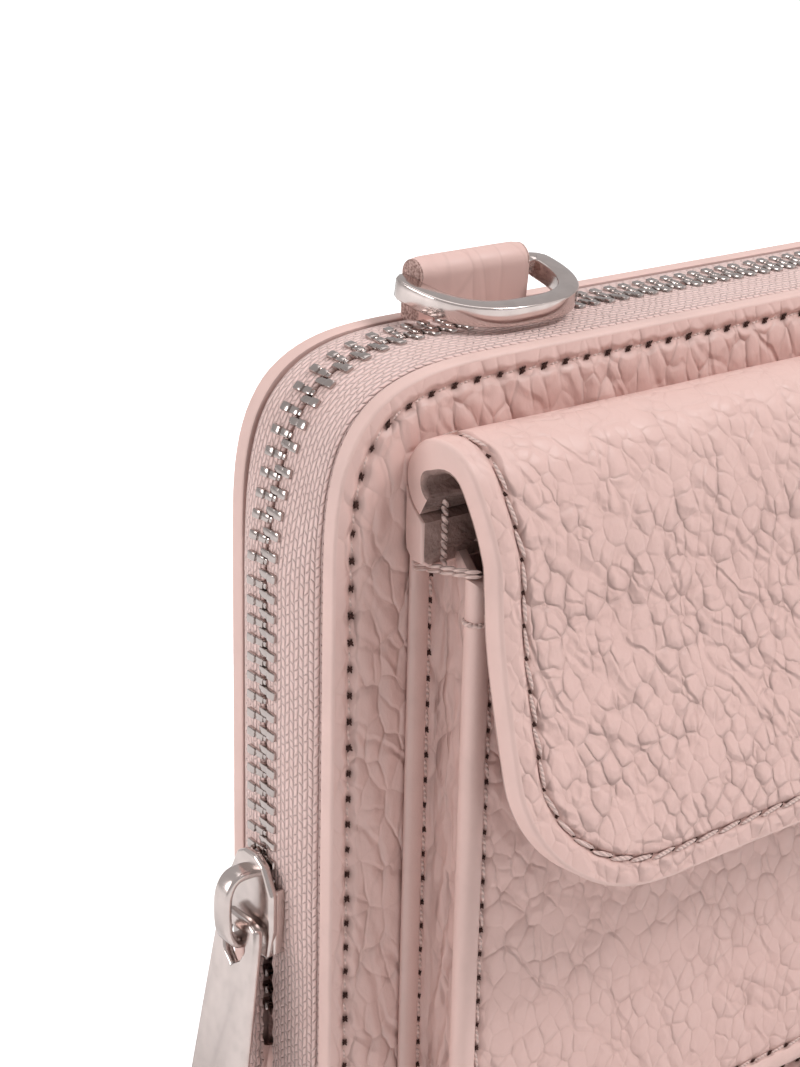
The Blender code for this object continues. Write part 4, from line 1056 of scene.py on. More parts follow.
def build_puller():
    axis = JOINT_PLACE["puller_hinge"]
    placing = Matrix.Translation(axis) @ Matrix.Rotation(PULLER_TILT, 4, "Y") @ FACING_LEFT
    top, end, length = 4.3 * MM, 5.7 * MM, 34 * MM
    outer = [(-top * 0.55, 1.1 * MM), (-top * 0.92, 0.5 * MM), (-top, -1.5 * MM), (-end, -length * 0.80),
             (-end * 0.93, -length * 0.93), (-end * 0.62, -length)]
    window = [(-2.2 * MM, -0.75 * MM), (-2.3 * MM, -3.0 * MM), (-1.6 * MM, -4.4 * MM), (0.0, -5.6 * MM)]
    bm = bmesh.new()
    loops = []
    for half_line in (outer, window):
        line = half_line + [(-across, up) for across, up in reversed(half_line) if across]
        verts = [bm.verts.new((across, up, -0.75 * MM)) for across, up in line]
        loops.append([bm.edges.new(pair) for pair in zip(verts, verts[1:] + verts[:1])])
    bmesh.ops.triangle_fill(bm, edges=loops[0] + loops[1], use_beauty=True)
    bmesh.ops.dissolve_limit(bm, angle_limit=0.01, verts=bm.verts, edges=bm.edges)
    thicken(bm, bm.faces[:], 1.5 * MM)
    bmesh.ops.recalc_face_normals(bm, faces=bm.faces)
    round_off(bm, [edge for edge in bm.edges if edge.calc_face_angle(0.0) > math.radians(50)], 0.42 * MM)
    bmesh.ops.transform(bm, verts=bm.verts, matrix=placing)
    finish_piece(bm, "zip_puller", ["puller_nickel"], "puller", ["puller"], sharp=35)


def build_rings():
    """The two D-rings: a flat band with crisp edges, and a thinner bar inside the tab's roll."""
    half = RING_WIDTH / 2 - RING_BAND / 2
    reach = RING_REACH - RING_BAND / 2
    front = []
    for step in range(65):
        angle = math.pi * step / 64
        across, along = math.cos(angle), math.sin(angle)
        radius = (abs(across) ** RING_POWER + along ** RING_POWER) ** (-1 / RING_POWER)
        front.append(Vector((half * radius * across, -reach * radius * along)))
    rear = corner_arc((half - 1.3 * MM, -0.9 * MM), (1.3 * MM, 0.9 * MM), 2.0, 0.0, 6)
    line = rear[::-1][:-1] + [point for point in front if point.y < -1.0 * MM]
    line += [Vector((-point.x, point.y)) for point in rear]
    line = [point for point, _ in spaced(line + [line[0]], 0.5 * MM)]
    for label in ("left", "right"):
        axis = JOINT_PLACE[f"ring_{label}_hinge"]
        axis = axis - Vector((math.copysign(RING_INWARDS, axis.x), 0.0, RING_LOWER))
        tilt = Matrix.Translation(axis) @ Matrix.Rotation(RING_TILT, 4, "X")
        bm = bmesh.new()
        stations = []
        for index, point in enumerate(line):
            run = (line[(index + 1) % (len(line) - 1)] - line[index - 1 if index else -2]).normalized()
            stations.append((Vector((point.x, point.y, 0.0)), Vector((-run.y, run.x, 0.0)),
                             Vector((0.0, 0.0, 1.0)), 0.0))

        def section(index):
            point = line[index]
            bar = kept_unit((half - 1.0 * MM - abs(point.x)) / (0.9 * MM)) if point.y > -1.5 * MM else 0.0
            wide = RING_BAND + (RING_BAR - RING_BAND) * bar
            deep = RING_DEEP + (RING_BAR - RING_DEEP) * bar
            return rounded_bar(wide, deep, 0.26 * MM)

        sweep(bm, stations, section, closed_path=True, closed_section=True)
        bmesh.ops.transform(bm, verts=bm.verts, matrix=tilt)
        finish_piece(bm, f"d_ring_{label}", ["ring_nickel"], f"ring_{label}", [f"ring_{label}"], sharp=35)


def build_tabs():
    """Each tab: a strip that comes out of the back panel's edge, rolls over its ring's bar and goes back down, and
    the fibrous core between its two walls."""
    for label in ("left", "right"):
        axis = JOINT_PLACE[f"ring_{label}_hinge"]
        box_low, box_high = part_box(f"tab_{label}")
        half, radius, thick = (box_high.x - box_low.x) / 2, 1.78 * MM, 0.42 * MM
        route = [Vector((box_high.y - axis.y - 0.42 * MM, box_low.z - axis.z)), Vector((radius * 1.05, -3.4 * MM))]
        for step in range(19):
            angle = math.radians(-8 + 196 * step / 18)
            route.append(Vector((radius * math.cos(angle), radius * math.sin(angle))))
        route += [Vector((-radius * 0.94, -2.2 * MM)), Vector((-radius * 0.80, -4.4 * MM)),
                  Vector((-radius * 0.55, -7.4 * MM))]
        bm = bmesh.new()
        stations = [(Vector((axis.x, axis.y + point.x, axis.z + point.y)), Vector((0.0, out.x, out.y)),
                     Vector((1.0, 0.0, 0.0)), 0.0) for point, out in with_normals(route)]
        columns = 14
        rows = [(thick - 0.26 * MM * (abs(2 * step / columns - 1) ** 14), half * (2 * step / columns - 1))
                for step in range(columns + 1)]
        sweep(bm, stations, rows + [(-thick, depth) for _, depth in reversed(rows)], closed_section=True)
        bmesh.ops.recalc_face_normals(bm, faces=bm.faces)
        for face in bm.faces:
            face.material_index = 1 if abs(face.normal.x) > 0.8 else 0
        walls = len(bm.faces)
        inside = radius + 0.22 * MM
        outline = [(inside * math.cos(math.pi * step / 16), inside * math.sin(math.pi * step / 16))
                   for step in range(17)] + [(-inside * 0.5, -7.0 * MM), (inside * 1.05, -7.0 * MM)]
        facing = Matrix(((0, 0, 1, 0), (1, 0, 0, 0), (0, 1, 0, 0), (0, 0, 0, 1)))
        plate(bm, outline, 2 * half + 0.04 * MM, Matrix.Translation(axis) @ facing, 0.12 * MM, segments=1)
        bm.faces.ensure_lookup_table()
        for face in bm.faces[walls:]:
            face.material_index = 1
        finish_piece(bm, f"tab_{label}_leather", ["tab_leather", "raw_edge"], "back_shell", [f"tab_{label}"])


def build_pocket():
    """The front pocket: its wrinkled gusset with a sewn flange, and its front with a rolled edge."""
    box_low, box_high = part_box("pocket_front")
    half, bottom, mouth = box_high.x, box_low.z, box_high.z
    face = box_low.y
    corner = (POCKET_CORNER, POCKET_CORNER)
    side = strip_side(half, bottom, mouth, corner, 1.3 * MM)
    section = [(first * MM, second * MM) for first, second in (
        (-9.0, 0.1), (-5.5, 0.06), (-4.2, -0.10), (-3.55, -0.42), (-3.3, -0.5), (-3.05, -0.38), (-2.8, -0.05),
        (-2.2, 0.35), (-1.4, 0.5), (-0.6, 0.3), (-0.12, -0.25), (0.0, -0.9), (-0.1, -1.6), (-0.5, -2.2),
        (-1.2, -2.5), (-9.0, -2.4))]
    bend = on_front(face, 0.10 * MM)
    pitch = sizes().panel_stitch
    bm = leather_slab(side, section, 64, bend, seam=(POCKET_LINE, pitch, False), bare=2.9 * MM)
    finish_piece(bm, "pocket_front_leather", ["pocket_leather", "turned_edge", "flesh_side"], "front_shell",
                 ["pocket_front"])
    places, gaps = (seam_places(side, POCKET_LINE, pitch, bend, -0.34 * MM, shift=shift, skip=1.5 * MM)
                    for shift in (0.5, 0.0))
    sew("pocket_front_stitches", places, gaps, pitch, "front_shell", "pocket_front", sink=0.0,
        hole=(1.05, 0.34), hole_sink=-0.06 * MM)

    wall = half - 0.6 * MM
    points = ([Vector((-wall, mouth + 1.9 * MM))]
              + corner_arc((-wall + corner[0], bottom + 0.6 * MM + corner[1]), corner, 2.0, math.pi, 14)
              + corner_arc((wall - corner[0], bottom + 0.6 * MM + corner[1]), corner, 2.0, -math.pi / 2, 14)
              + [Vector((wall, mouth + 1.9 * MM))])
    line = spaced(points, 1.0 * MM)
    deep = (FRONT_FACE - high("pocket_front").y) / MM
    stations = upright_stations(line, -1.0, FRONT_FACE)
    folds = 14

    def section(index):
        walked = stations[index][3]
        slope = max(0.0, 1.0 - min(walked, line[-1][1] - walked) / (2.6 * MM))
        reach = deep - 2.6 * slope
        outer = [(3.2, 0.35), (3.4, 0.75), (3.25, 1.15), (2.6, 1.32), (1.0, 1.3), (0.45, 0.8), (-0.2, 1.1)]
        for fold in range(folds):
            share = fold / (folds - 1)
            depth = 1.5 + (reach - 1.8) * share
            wave = noise.noise(Vector((depth / 1.15, walked / (7 * MM), 3.0)))
            wave += 0.4 * noise.noise(Vector((depth / 0.8, walked / (2.5 * MM), 9.0)))
            outer.append((-0.6 - 0.7 * share + 0.95 * wave * math.sin(math.pi * share) ** 0.5, depth))
        inner = [(-2.5, reach - 0.3), (-2.4, reach - 1.6), (-2.4, 1.6), (-1.6, 0.35)]
        return [(first * MM, second * MM) for first, second in outer + inner]

    bm = bmesh.new()
    sweep(bm, stations, section, closed_section=True)
    row = layer(bm, "row", "int")
    # The gusset's end caps, the faces with many corners, get the painted shade leather.
    for item in bm.faces:
        rows = [vert[row] for vert in item.verts]
        item.material_index = 3 if len(rows) > 8 else 1 if max(rows) <= 4 else 2 if min(rows) >= 6 + folds else 0
    finish_piece(bm, "pocket_gusset_leather", ["gusset_leather", "turned_edge", "flesh_side", "painted_shade_leather"],
                 "front_shell", ["pocket_gusset"], sharp=70)
    marks = [(origin + out * 0.45 * MM + side_way * 0.85 * MM, side_way, Vector((-out.z, 0.0, out.x)))
             for origin, out, side_way, _ in upright_stations(spaced(points, pitch / 2), -1.0, FRONT_FACE)]
    sew("pocket_gusset_stitches", marks[3:-2:2], marks[2:-1:2], pitch, "front_shell", "pocket_gusset", turn=0.1,
        sink=-0.06 * MM, hole=(1.2, 0.36), hole_sink=-0.14 * MM)

    bm = bmesh.new()
    thread = sizes().thread
    for sign in (-1.0, 1.0):
        for lift in (0.15, 0.75):
            start = Vector((sign * (wall + 3.0 * MM), FRONT_FACE - 1.6 * MM, mouth + (lift - 0.2) * MM))
            end = Vector((sign * (half - 0.4 * MM), face + 0.5 * MM, mouth + (lift + 0.35) * MM))
            run = (end - start).normalized()
            up = Vector((sign * 0.35, -0.2, 0.91)).normalized()
            normal = (up - run * up.dot(run)).normalized()
            ovals(bm, [(start.lerp(end, share), normal, run) for share in (0.08, 0.31, 0.54, 0.77, 0.98)],
                  (2.2 * MM, thread, thread), turn=0.22)
        for turn in range(-4, 5):
            angle = math.radians(24 * turn)
            out = Vector((sign * math.cos(angle), -math.sin(angle), 0.0))
            place = Vector((sign * (half - 1.25 * MM), face + 0.95 * MM, mouth - 5.4 * MM)) + out * 1.38 * MM
            ovals(bm, [(place, out, Vector((-sign * math.sin(angle), -math.cos(angle), 0.12)).normalized())],
                  (0.95 * MM, thread * 1.3, thread), turn=0.3)
    finish_piece(bm, "pocket_bar_tacks", ["sewing_thread"], "front_shell", slot="pocket_gusset")


def flap_route():
    """The flap's outer surface from below the rear of its roll to its lower edge, as (Y, Z) points."""
    axis = JOINT_PLACE["flap_hinge"]
    points = []
    for step in range(45):
        angle = -ROLL_START + (math.pi - FLAP_LEAN + ROLL_START) * step / 44
        points.append(Vector((axis.y + FLAP_ROLL * math.cos(angle), axis.z + FLAP_ROLL * math.sin(angle))))
    bottom = low("flap").z
    run = (points[-1].y - bottom - FLAP_BEND * math.sin(FLAP_LEAN)) / math.cos(FLAP_LEAN)
    down = Vector((-math.sin(FLAP_LEAN), -math.cos(FLAP_LEAN)))
    straight_start = points[-1]
    for step in range(1, 25):
        points.append(straight_start + down * run * step / 24)
    centre = points[-1] + FLAP_BEND * Vector((math.cos(FLAP_LEAN), -math.sin(FLAP_LEAN)))
    for step in range(1, 13):
        angle = FLAP_LEAN * (1 - step / 12)
        points.append(centre + FLAP_BEND * Vector((-math.cos(angle), math.sin(angle))))
    return points


def on_route(route, flare, half, soft):
    """Places a flat point on a bent sheet: up is minus the distance along the route. The corners flare forward."""
    line = spaced(route, 0.25 * MM)
    gap = line[1][1]
    normals = with_normals([point for point, _ in line])
    length = line[-1][1]

    def bend(across, up, height):
        distance = min(max(-up / gap, 0.0), len(line) - 1.001)
        index = int(distance)
        share = distance - index
        point = line[index][0].lerp(line[index + 1][0], share)
        out = normals[index][1].lerp(normals[index + 1][1], share).normalized()
        beyond = -up - min(max(-up, 0.0), length)
        point = point + Vector((-out.y, out.x)) * beyond
        away = max(0.0, (-up / length - 0.3) / 0.7)
        lift = flare * (abs(across) / half) ** 3 * away
        swell = ripple(Vector((across, 0.0, up)), 16 * MM, soft)
        spot = point + out * (height + swell)
        return Vector((across, spot.x - lift, spot.y))
    return bend, length


def build_flap():
    """The flap: its leather with flared lower corners, its lining, and the fixed leg behind its roll."""
    half = high("flap").x
    on_curve, length = on_route(flap_route(), CORNER_FLARE, half, 0.12 * MM)
    apex = FLAP_ROLL * (math.pi / 2 + ROLL_START)

    def bend(across, up, height):
        rim = kept_unit((abs(across) - half + 20 * MM) / (12 * MM))
        low_share = kept_unit((-up - apex) / (16 * MM))
        across += math.copysign(rim, across) * (1.2 - 2.6 * low_share) * MM
        if height < -1.0 * MM:
            height *= 1.0 + 0.33 * rim ** 3 * math.exp(-((up + apex) / (4 * MM)) ** 2)
        height += SHOULDER_PUFF * math.exp(-((up + apex + SHOULDER_REACH) / SHOULDER_REACH) ** 2)
        return on_curve(across, up, height)

    corner = (FLAP_CORNER_ACROSS, FLAP_CORNER_ALONG)
    pitch = sizes().flap_stitch
    side = strip_side(half, -length, 0.0, corner, 1.1 * MM, steps=30)
    section = slab_section(3.3 * MM, 0.55 * MM, 7.5 * MM, groove_at=FLAP_LINE, groove_depth=0.36 * MM,
                           puff=0.08 * MM, core=FLAP_THICK)
    bm = leather_slab(side, section, 110, bend, seam=(FLAP_LINE, pitch, False))
    along, across = layer(bm, "along"), layer(bm, "across")
    # The flap's end at the rear of its roll and its rear faces down to FOLD_END get the painted shade leather; lower
    # rear faces get the flesh side.
    for face in bm.faces:
        middle_along = sum(vert[along] for vert in face.verts) / len(face.verts)
        middle_across = sum(abs(vert[across]) for vert in face.verts) / len(face.verts)
        if middle_along > -0.5 * MM and middle_across < half - 0.3 * MM:
            face.material_index = 2
        elif face.material_index == 2 and middle_along < FOLD_END:
            face.material_index = 3
    finish_piece(bm, "flap_leather", ["flap_leather", "turned_edge", "painted_shade_leather", "flesh_side"], "flap", ["flap"],
                 sharp=60)
    places, gaps = (seam_places(side, FLAP_LINE, pitch, bend, lift, shift=shift, skip=9 * MM)
                    for shift, lift in ((0.5, -0.10 * MM), (0.0, -0.24 * MM)))
    sew("flap_stitches", places, gaps, pitch, "flap", "flap", thread=(1.0, 1.15), turn=0.13, sink=-0.04 * MM,
        hole=(0.95, 0.34), hole_turn=0.9)

    roll = (math.pi - FLAP_LEAN + ROLL_START) * FLAP_ROLL
    inset = 4.0 * MM
    side = strip_side(half - inset, -length + inset, -roll - inset, (corner[0] - inset, corner[1] - inset), 3 * MM)
    bm = leather_slab(side, cloth_section(), 24,
                      lambda across, up, height: bend(across, up, height - FLAP_THICK - 0.32 * MM))
    piece = finish_piece(bm, "flap_lining_cloth", ["lining_twill"] * 3, "flap", ["flap_lining"])

    box_low, box_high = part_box("flap_leg")
    side = strip_side(box_high.x, box_low.z, box_high.z, (1.2 * MM, 1.2 * MM), 1.2 * MM, steps=8)
    bm = leather_slab(side, slab_section(LEG_THICK, 0.4 * MM, 2.2 * MM), 60,
                      lambda across, up, height: leg_place(across, up, height, box_low, box_high), bare=0.4 * MM)
    # The leg's face is the painted shade leather, as it lies in shade behind the roll.
    finish_piece(bm, "flap_leg_leather", ["painted_shade_leather", "turned_edge", "flesh_side"], "front_shell", ["flap_leg"])
    bm = bmesh.new()
    front = box_high.y - LEG_THICK
    for sign in (-1.0, 1.0):
        rope = [(Vector((sign * (box_high.x - 3.2 * MM), front - 0.15 * MM, box_low.z + (0.4 + 1.05 * step) * MM)),
                 Vector((0.0, -1.0, 0.0)), Vector((0.0, 0.0, 1.0))) for step in range(8)]
        ovals(bm, rope, (1.7 * MM, sizes().thread * 1.3, sizes().thread * 1.3), turn=0.5)
    low_row = [(Vector((across * MM, front - 0.05 * MM, box_low.z + 2.2 * MM)), Vector((0.0, -1.0, 0.0)),
                Vector((1.0, 0.0, 0.0))) for across in range(-80, 81, 4)]
    ovals(bm, low_row, (3.0 * MM, sizes().thread, sizes().thread * 0.8), turn=0.15)
    finish_piece(bm, "flap_leg_stitches", ["sewing_thread"], "front_shell", slot="flap_leg")


def leg_place(across, up, height, box_low, box_high):
    """The leg behind the roll: its face is hollowed above so that the roll turns in front of it."""
    axis = JOINT_PLACE["flap_hinge"]
    front = box_high.y - LEG_THICK - height
    seat = FLAP_ROLL + 0.03 * MM
    lift = axis.z - up
    if 0 <= lift < seat:
        limit = axis.y + math.sqrt(seat * seat - lift * lift)
        front = max(front, min(limit, box_high.y - 0.05 * MM))
    elif lift < 0:
        front = max(front, box_high.y - 0.05 * MM)
    low_share = max(0.0, 1.0 - (up - box_low.z) / (2.6 * MM))
    rear = box_high.y - 1.7 * MM * low_share
    return Vector((across, min(front, rear), up))


def build_linings():
    """The cloth linings of both shells and of the pocket."""
    inset = 3.5 * MM
    side = [(point - out * inset, out) for point, out in case_side(3 * MM)]
    for label, body, sign in (("front", "front_shell", 1.0), ("back", "back_shell", -1.0)):
        box_low, box_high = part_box(f"{label}_lining")
        middle = (box_low.y + box_high.y) / 2
        bm = leather_slab(side, cloth_section(), 30, on_plane(middle, sign))
        piece = finish_piece(bm, f"{label}_lining_cloth", ["lining_twill"] * 3, body, [f"{label}_lining"])
    box_low, box_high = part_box("pocket_lining")
    side = strip_side(box_high.x, box_low.z, box_high.z, (7 * MM, 7 * MM), 3 * MM)
    bm = leather_slab(side, cloth_section(), 24, on_plane((box_low.y + box_high.y) / 2, 1.0))
    piece = finish_piece(bm, "pocket_lining_cloth", ["lining_twill"] * 3, "front_shell", ["pocket_lining"])


def build_slots():
    """The leather of the card slots and of the slip pocket, sewn down their sides and along their foot."""
    names = [f"card_slot_{side}_{index}" for side in ("left", "right") for index in (1, 2, 3)] + ["slip_pocket"]
    for name in names:
        box_low, box_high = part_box(name)
        body = "back_shell" if name == "slip_pocket" else "front_shell"
        middle_x = (box_low.x + box_high.x) / 2
        half = (box_high.x - box_low.x) / 2
        sign, face, back = ((-1.0, box_low.y, box_high.y) if name == "slip_pocket" else
                            (1.0, box_high.y, box_low.y))

        def bend(across, up, height):
            rim = min(half - abs(across), up - box_low.z)
            sunk = 1.0 - kept_unit((rim - 0.8 * MM) / (2.2 * MM))
            drop = sunk * (abs(face - back) - 0.62 * MM)
            return Vector((middle_x + across, face + sign * (height - drop), up))

        side = strip_side(half, box_low.z, box_high.z, (1.5 * MM, 1.5 * MM), 2.5 * MM, steps=4)
        bm = leather_slab(side, slab_section(0.55 * MM, 0.22 * MM, 5 * MM), 26, bend)
        finish_piece(bm, f"{name}_leather", ["slot_leather", "turned_edge", "flesh_side"], body, [name])
        bm = bmesh.new()
        ovals(bm, seam_places(side, 1.6 * MM, 3.4 * MM, bend, skip=2 * MM), (2.5 * MM, 0.4 * MM, 0.3 * MM), turn=0.1,
              detail=(6, 4))
        finish_piece(bm, f"{name}_stitches", ["sewing_thread"], body, slot=name)


def build_base():
    """The leather spine strip, and the soft gusset ends, which stay fixed in place."""
    box_low, box_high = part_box("spine_strip")
    half, deep = box_high.x, (box_high.y - box_low.y) / 2
    middle = (box_high.y + box_low.y) / 2
    side = [(Vector((half, depth)), Vector((1.0, sign))) for depth, sign in ((-deep, -1.0), (deep, 1.0))]
    rows = [(Vector((half, -deep + 2 * deep * step / 12)), Vector((1.0, 0.0))) for step in range(1, 12)]
    rows = [side[0]] + rows + [side[1]]
    bm = leather_slab(rows, slab_section(box_high.z, 0.35 * MM, 2 * MM), 60,
                      lambda across, up, height: Vector((across, middle - up, -height)))
    finish_piece(bm, "spine_leather", ["panel_leather", "turned_edge", "flesh_side"], "back_shell", ["spine_strip"])
    for label, sign in (("left", -1.0), ("right", 1.0)):
        reach = (CORNER_REACH, CORNER_REACH)
        centre = (sign * (HALF_WIDTH - CORNER_REACH), CORNER_REACH)
        arc = corner_arc(centre, reach, CORNER_POWER, -math.pi / 2 if sign > 0 else math.pi, 30)
        points = arc + [Vector((HALF_WIDTH, ZIP_END))] if sign > 0 else [Vector((-HALF_WIDTH, ZIP_END))] + arc
        stations = upright_stations(spaced(points, 1.2 * MM), 1.0)
        front, back = FRONT_INNER + 0.3 * MM, BACK_INNER - 0.3 * MM
        centre_y, width = (front + back) / 2, (back - front) / 2
        folds = ((-0.2, 1.0), (-2.2, 0.86), (-4.6, 0.62), (-6.9, 0.36), (-8.6, 0.12))
        outer = ([(rise * MM, centre_y - width * share) for rise, share in folds] + [(-9.0 * MM, centre_y)]
                 + [(rise * MM, centre_y + width * share) for rise, share in reversed(folds)])
        inner = [(rise - 0.9 * MM, depth) for rise, depth in reversed(outer)]
        bm = bmesh.new()
        sweep(bm, stations, outer + inner, closed_section=True)
        piece = finish_piece(bm, f"gusset_end_{label}_leather", ["gusset_leather"], "back_shell",
                             [f"gusset_end_{label}"], sharp=70, ride=False)
        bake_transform(piece)


def build_snap():
    """The magnetic snap: a turned socket on the pocket and a turned stud under the flap."""
    for name, body, sign in (("snap_socket", "front_shell", -1.0), ("snap_stud", "flap", 1.0)):
        box_low, box_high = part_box(name)
        radius = (box_high.x - box_low.x) / 2
        centre = Vector(((box_low.x + box_high.x) / 2, 0.0, (box_low.z + box_high.z) / 2))
        seat, tip = (box_high.y, box_low.y) if sign < 0 else (box_low.y, box_high.y)
        deep = abs(tip - seat)
        if sign < 0:
            profile = [(0.0, 0.0), (radius * 0.9, 0.0), (radius, deep * 0.3), (radius, deep * 0.75),
                       (radius * 0.93, deep), (radius * 0.56, deep), (radius * 0.5, deep * 0.5), (0.0, deep * 0.5)]
        else:
            step = deep - 1.0 * MM
            profile = [(0.0, 0.0), (radius * 0.9, 0.0), (radius, step * 0.2), (radius, step * 0.85),
                       (radius * 0.95, step), (radius * 0.46, step), (radius * 0.44, deep * 0.96),
                       (radius * 0.36, deep), (0.0, deep)]
        bm = bmesh.new()
        verts = [bm.verts.new((across, 0.0, up)) for across, up in profile]
        edges = [bm.edges.new(pair) for pair in zip(verts, verts[1:])]
        bmesh.ops.spin(bm, geom=verts + edges, cent=(0, 0, 0), axis=(0, 0, 1), angle=2 * math.pi, steps=40,
                       use_merge=True)
        bmesh.ops.remove_doubles(bm, verts=bm.verts, dist=0.01 * MM)
        turn = Matrix.Rotation(math.pi / 2 if sign < 0 else -math.pi / 2, 4, "X")
        bmesh.ops.transform(bm, verts=bm.verts, matrix=Matrix.Translation(centre + Vector((0.0, seat, 0.0))) @ turn)
        finish_piece(bm, f"{name}_metal", ["ring_nickel"], body, [name], sharp=35)


# ---------------------------------------------------------------- stage

def studio_sight(tree, mirrored):
    """1 for what the camera sees, and the given share for what mirrors see."""
    path = node(tree, "ShaderNodeLightPath").outputs
    seen = calc(tree, "MULTIPLY_ADD", path["Is Glossy Ray"], mirrored, path["Is Camera Ray"])
    return calc(tree, "ADD", seen, path["Is Transmission Ray"], clamp=True)


def floor_paper(name, colour, shown):
    """A pale paper, which the camera and mirrors see a little brighter than the light on it, with its shadows."""
    tree, shader, place = new_material(name)
    dress(tree, shader, mix_colour(tree, fuzz(tree, place, 3.0), colour, darker(colour, 0.985)), 0.9,
          Emission_Color=(1.0, 1.0, 1.0, 1.0), Emission_Strength=calc(tree, "MULTIPLY", studio_sight(tree, 0.2), shown))


def build_stage():
    """A plain pale floor, soft studio light, a white world and the photograph's camera."""
    scene = bpy.context.scene
    scene.view_settings.view_transform = "Standard"
    bm = bmesh.new()
    bmesh.ops.create_grid(bm, x_segments=8, y_segments=8, size=3.0)
    mesh = mesh_of(bm, "floor")
    floor_paper("floor_paper", (0.90, 0.90, 0.90), 0.62)
    mesh.materials.append(look("floor_paper"))
    floor = bpy.data.objects.new("floor", mesh)
    floor.location.z = -0.2 * MM
    scene.collection.objects.link(floor)

    world = bpy.data.worlds.new("studio")
    scene.world = world
    world.use_nodes = True
    tree = world.node_tree
    soft = tree.nodes["Background"]
    soft.inputs["Color"].default_value = (1.0, 0.985, 0.975, 1.0)
    soft.inputs["Strength"].default_value = 0.36
    shown = node(tree, "ShaderNodeBackground", Color=(1.0, 1.0, 1.0, 1.0), Strength=1.0)
    both = node(tree, "ShaderNodeMixShader", i0=studio_sight(tree, 0.30), i1=soft.outputs[0], i2=shown.outputs[0])
    plug(tree, tree.nodes["World Output"].inputs["Surface"], both.outputs[0])

    aim = Vector((-0.05, -0.01, 0.09))
    for name, place, size, power in (("key_light", (0.40, -0.55, 1.05), 0.40, 9.3),
                                     ("side_light", (-0.90, 0.35, 0.45), 0.5, 4.5),
                                     ("top_light", (0.15, 0.30, 1.1), 0.7, 2.0),
                                     ("right_light", (0.9, -0.7, 0.4), 0.6, 0.6)):
        lamp = bpy.data.lights.new(name, "AREA")
        lamp.size, lamp.energy = size, power
        holder = bpy.data.objects.new(name, lamp)
        holder.location = place
        holder.rotation_euler = (aim - Vector(place)).to_track_quat("-Z", "Y").to_euler()
        scene.collection.objects.link(holder)

    ahead = Vector((math.sin(VIEW_AZIMUTH) * math.cos(VIEW_ELEVATION),
                    math.cos(VIEW_AZIMUTH) * math.cos(VIEW_ELEVATION), -math.sin(VIEW_ELEVATION)))
    right = Vector((math.cos(VIEW_AZIMUTH), -math.sin(VIEW_AZIMUTH), 0.0))
    up = right.cross(ahead)
    rolled = right * math.cos(VIEW_ROLL) + up * math.sin(VIEW_ROLL)
    rolled_up = up * math.cos(VIEW_ROLL) - right * math.sin(VIEW_ROLL)
    target = Vector((-HALF_WIDTH + 11.34 * MM, FRONT_INNER, HEIGHT - 20.68 * MM))
    place = target - ahead * VIEW_DISTANCE
    lens = bpy.data.cameras.new("photo_camera")
    lens.sensor_fit = "VERTICAL"
    lens.sensor_height = SENSOR_MM
    lens.lens = FOCAL_PIXELS * SENSOR_MM / PHOTO_HEIGHT
    lens.clip_start = 0.01
    camera = bpy.data.objects.new("photo_camera", lens)
    camera.matrix_world = Matrix([(*row, spot) for row, spot in zip(zip(rolled, rolled_up, -ahead), place)]
                                 + [(0.0, 0.0, 0.0, 1.0)])
    scene.collection.objects.link(camera)
    scene.camera = camera


# ---------------------------------------------------------------- operators

class WALLET_OT_finishes(bpy.types.Operator):
    """Build the leather, tape, metal, thread and lining finishes"""
    bl_idname = "wallet.finishes"
    bl_label = "Finishes"

    def execute(self, context):
        build_materials()
        return {"FINISHED"}


class WALLET_OT_stage(bpy.types.Operator):
    """Set up the floor, the lights and the photograph's camera"""
    bl_idname = "wallet.stage"
    bl_label = "Stage"

    def execute(self, context):
        build_stage()
        return {"FINISHED"}


class WALLET_OT_panels(bpy.types.Operator):
    """Make the stitched leather panels of both shells"""
    bl_idname = "wallet.panels"
    bl_label = "Panels"

    def execute(self, context):
        build_panels()
        return {"FINISHED"}


class WALLET_OT_zip_tapes(bpy.types.Operator):
    """Make the two woven zip tapes"""
    bl_idname = "wallet.zip_tapes"
    bl_label = "Zip tapes"

    def execute(self, context):
        build_zip_tapes()
        return {"FINISHED"}


class WALLET_OT_zip_teeth(bpy.types.Operator):
    """Make the two rows of metal teeth"""
    bl_idname = "wallet.zip_teeth"
    bl_label = "Zip teeth"

    def execute(self, context):
        build_zip_teeth()
        return {"FINISHED"}


class WALLET_OT_slider(bpy.types.Operator):
    """Make the zip's slider"""
    bl_idname = "wallet.slider"
    bl_label = "Slider"

    def execute(self, context):
        build_slider()
        return {"FINISHED"}


class WALLET_OT_puller(bpy.types.Operator):
    """Make the slider's puller"""
    bl_idname = "wallet.puller"
    bl_label = "Puller"

    def execute(self, context):
        build_puller()
        return {"FINISHED"}


class WALLET_OT_rings(bpy.types.Operator):
    """Make the two D-rings"""
    bl_idname = "wallet.rings"
    bl_label = "D-rings"

    def execute(self, context):
        build_rings()
        return {"FINISHED"}


class WALLET_OT_tabs(bpy.types.Operator):
    """Make the rolled leather tabs that hold the rings"""
    bl_idname = "wallet.tabs"
    bl_label = "Tabs"

    def execute(self, context):
        build_tabs()
        return {"FINISHED"}


class WALLET_OT_pocket(bpy.types.Operator):
    """Make the front pocket, its gusset and its stitches"""
    bl_idname = "wallet.pocket"
    bl_label = "Pocket"

    def execute(self, context):
        build_pocket()
        return {"FINISHED"}


class WALLET_OT_flap(bpy.types.Operator):
    """Make the flap, its lining and its leg"""
    bl_idname = "wallet.flap"
    bl_label = "Flap"

    def execute(self, context):
        build_flap()
        return {"FINISHED"}


class WALLET_OT_linings(bpy.types.Operator):
    """Make the cloth linings of the shells and the pocket"""
    bl_idname = "wallet.linings"
    bl_label = "Linings"

    def execute(self, context):
        build_linings()
        return {"FINISHED"}


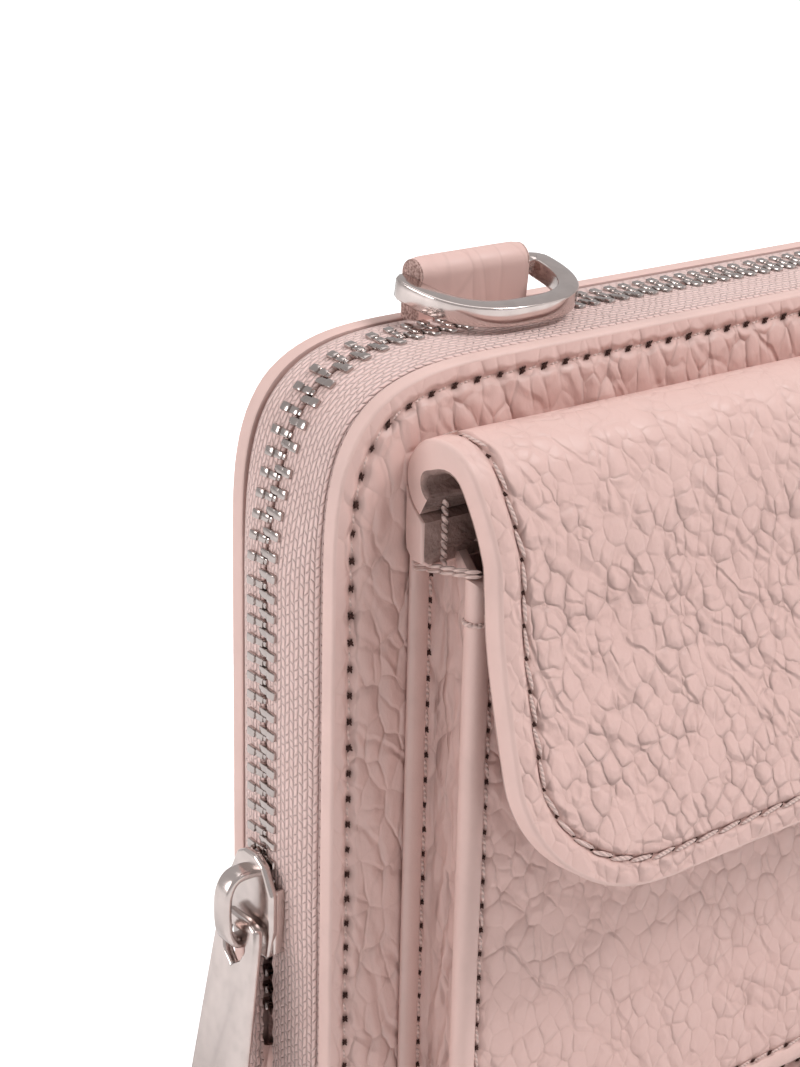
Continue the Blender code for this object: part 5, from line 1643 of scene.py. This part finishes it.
class WALLET_OT_slots(bpy.types.Operator):
    """Make the card slots and the slip pocket"""
    bl_idname = "wallet.slots"
    bl_label = "Slots"

    def execute(self, context):
        build_slots()
        return {"FINISHED"}


class WALLET_OT_base(bpy.types.Operator):
    """Make the spine strip and the soft gusset ends"""
    bl_idname = "wallet.base"
    bl_label = "Base"

    def execute(self, context):
        build_base()
        return {"FINISHED"}


class WALLET_OT_snap(bpy.types.Operator):
    """Make the magnetic snap's socket and stud"""
    bl_idname = "wallet.snap"
    bl_label = "Snap"

    def execute(self, context):
        build_snap()
        return {"FINISHED"}


OPERATORS = (WALLET_OT_finishes,
             WALLET_OT_stage,
             WALLET_OT_panels,
             WALLET_OT_zip_tapes,
             WALLET_OT_zip_teeth,
             WALLET_OT_slider,
             WALLET_OT_puller,
             WALLET_OT_rings,
             WALLET_OT_tabs,
             WALLET_OT_pocket,
             WALLET_OT_flap,
             WALLET_OT_linings,
             WALLET_OT_slots,
             WALLET_OT_base,
             WALLET_OT_snap)


class WALLET_PT_sidebar(bpy.types.Panel):
    """Sizes, colours and pieces of the wallet"""
    bl_idname = "WALLET_PT_sidebar"
    bl_label = "Crossbody wallet"
    bl_space_type = "VIEW_3D"
    bl_region_type = "UI"
    bl_category = "Wallet"

    def draw(self, context):
        for group in (context.scene.wallet_sizes, context.scene.wallet_colours):
            box = self.layout.box()
            for name in group.__annotations__:
                box.prop(group, name)
        for operator in OPERATORS:
            self.layout.operator(operator.bl_idname)


CLASSES = (WalletSizes, WalletColours, *OPERATORS, WALLET_PT_sidebar)


def register():
    for item in CLASSES:
        bpy.utils.register_class(item)
    bpy.types.Scene.wallet_sizes = bpy.props.PointerProperty(type=WalletSizes)
    bpy.types.Scene.wallet_colours = bpy.props.PointerProperty(type=WalletColours)


def unregister():
    del bpy.types.Scene.wallet_colours
    del bpy.types.Scene.wallet_sizes
    for item in reversed(CLASSES):
        bpy.utils.unregister_class(item)


def main():
    register()
    bpy.ops.wallet.finishes()
    bpy.ops.wallet.stage()
    bpy.ops.wallet.panels()
    bpy.ops.wallet.zip_tapes()
    bpy.ops.wallet.zip_teeth()
    bpy.ops.wallet.slider()
    bpy.ops.wallet.puller()
    bpy.ops.wallet.rings()
    bpy.ops.wallet.tabs()
    bpy.ops.wallet.pocket()
    bpy.ops.wallet.flap()
    bpy.ops.wallet.linings()
    bpy.ops.wallet.slots()
    bpy.ops.wallet.base()
    bpy.ops.wallet.snap()


if __name__ == "__main__":
    main()
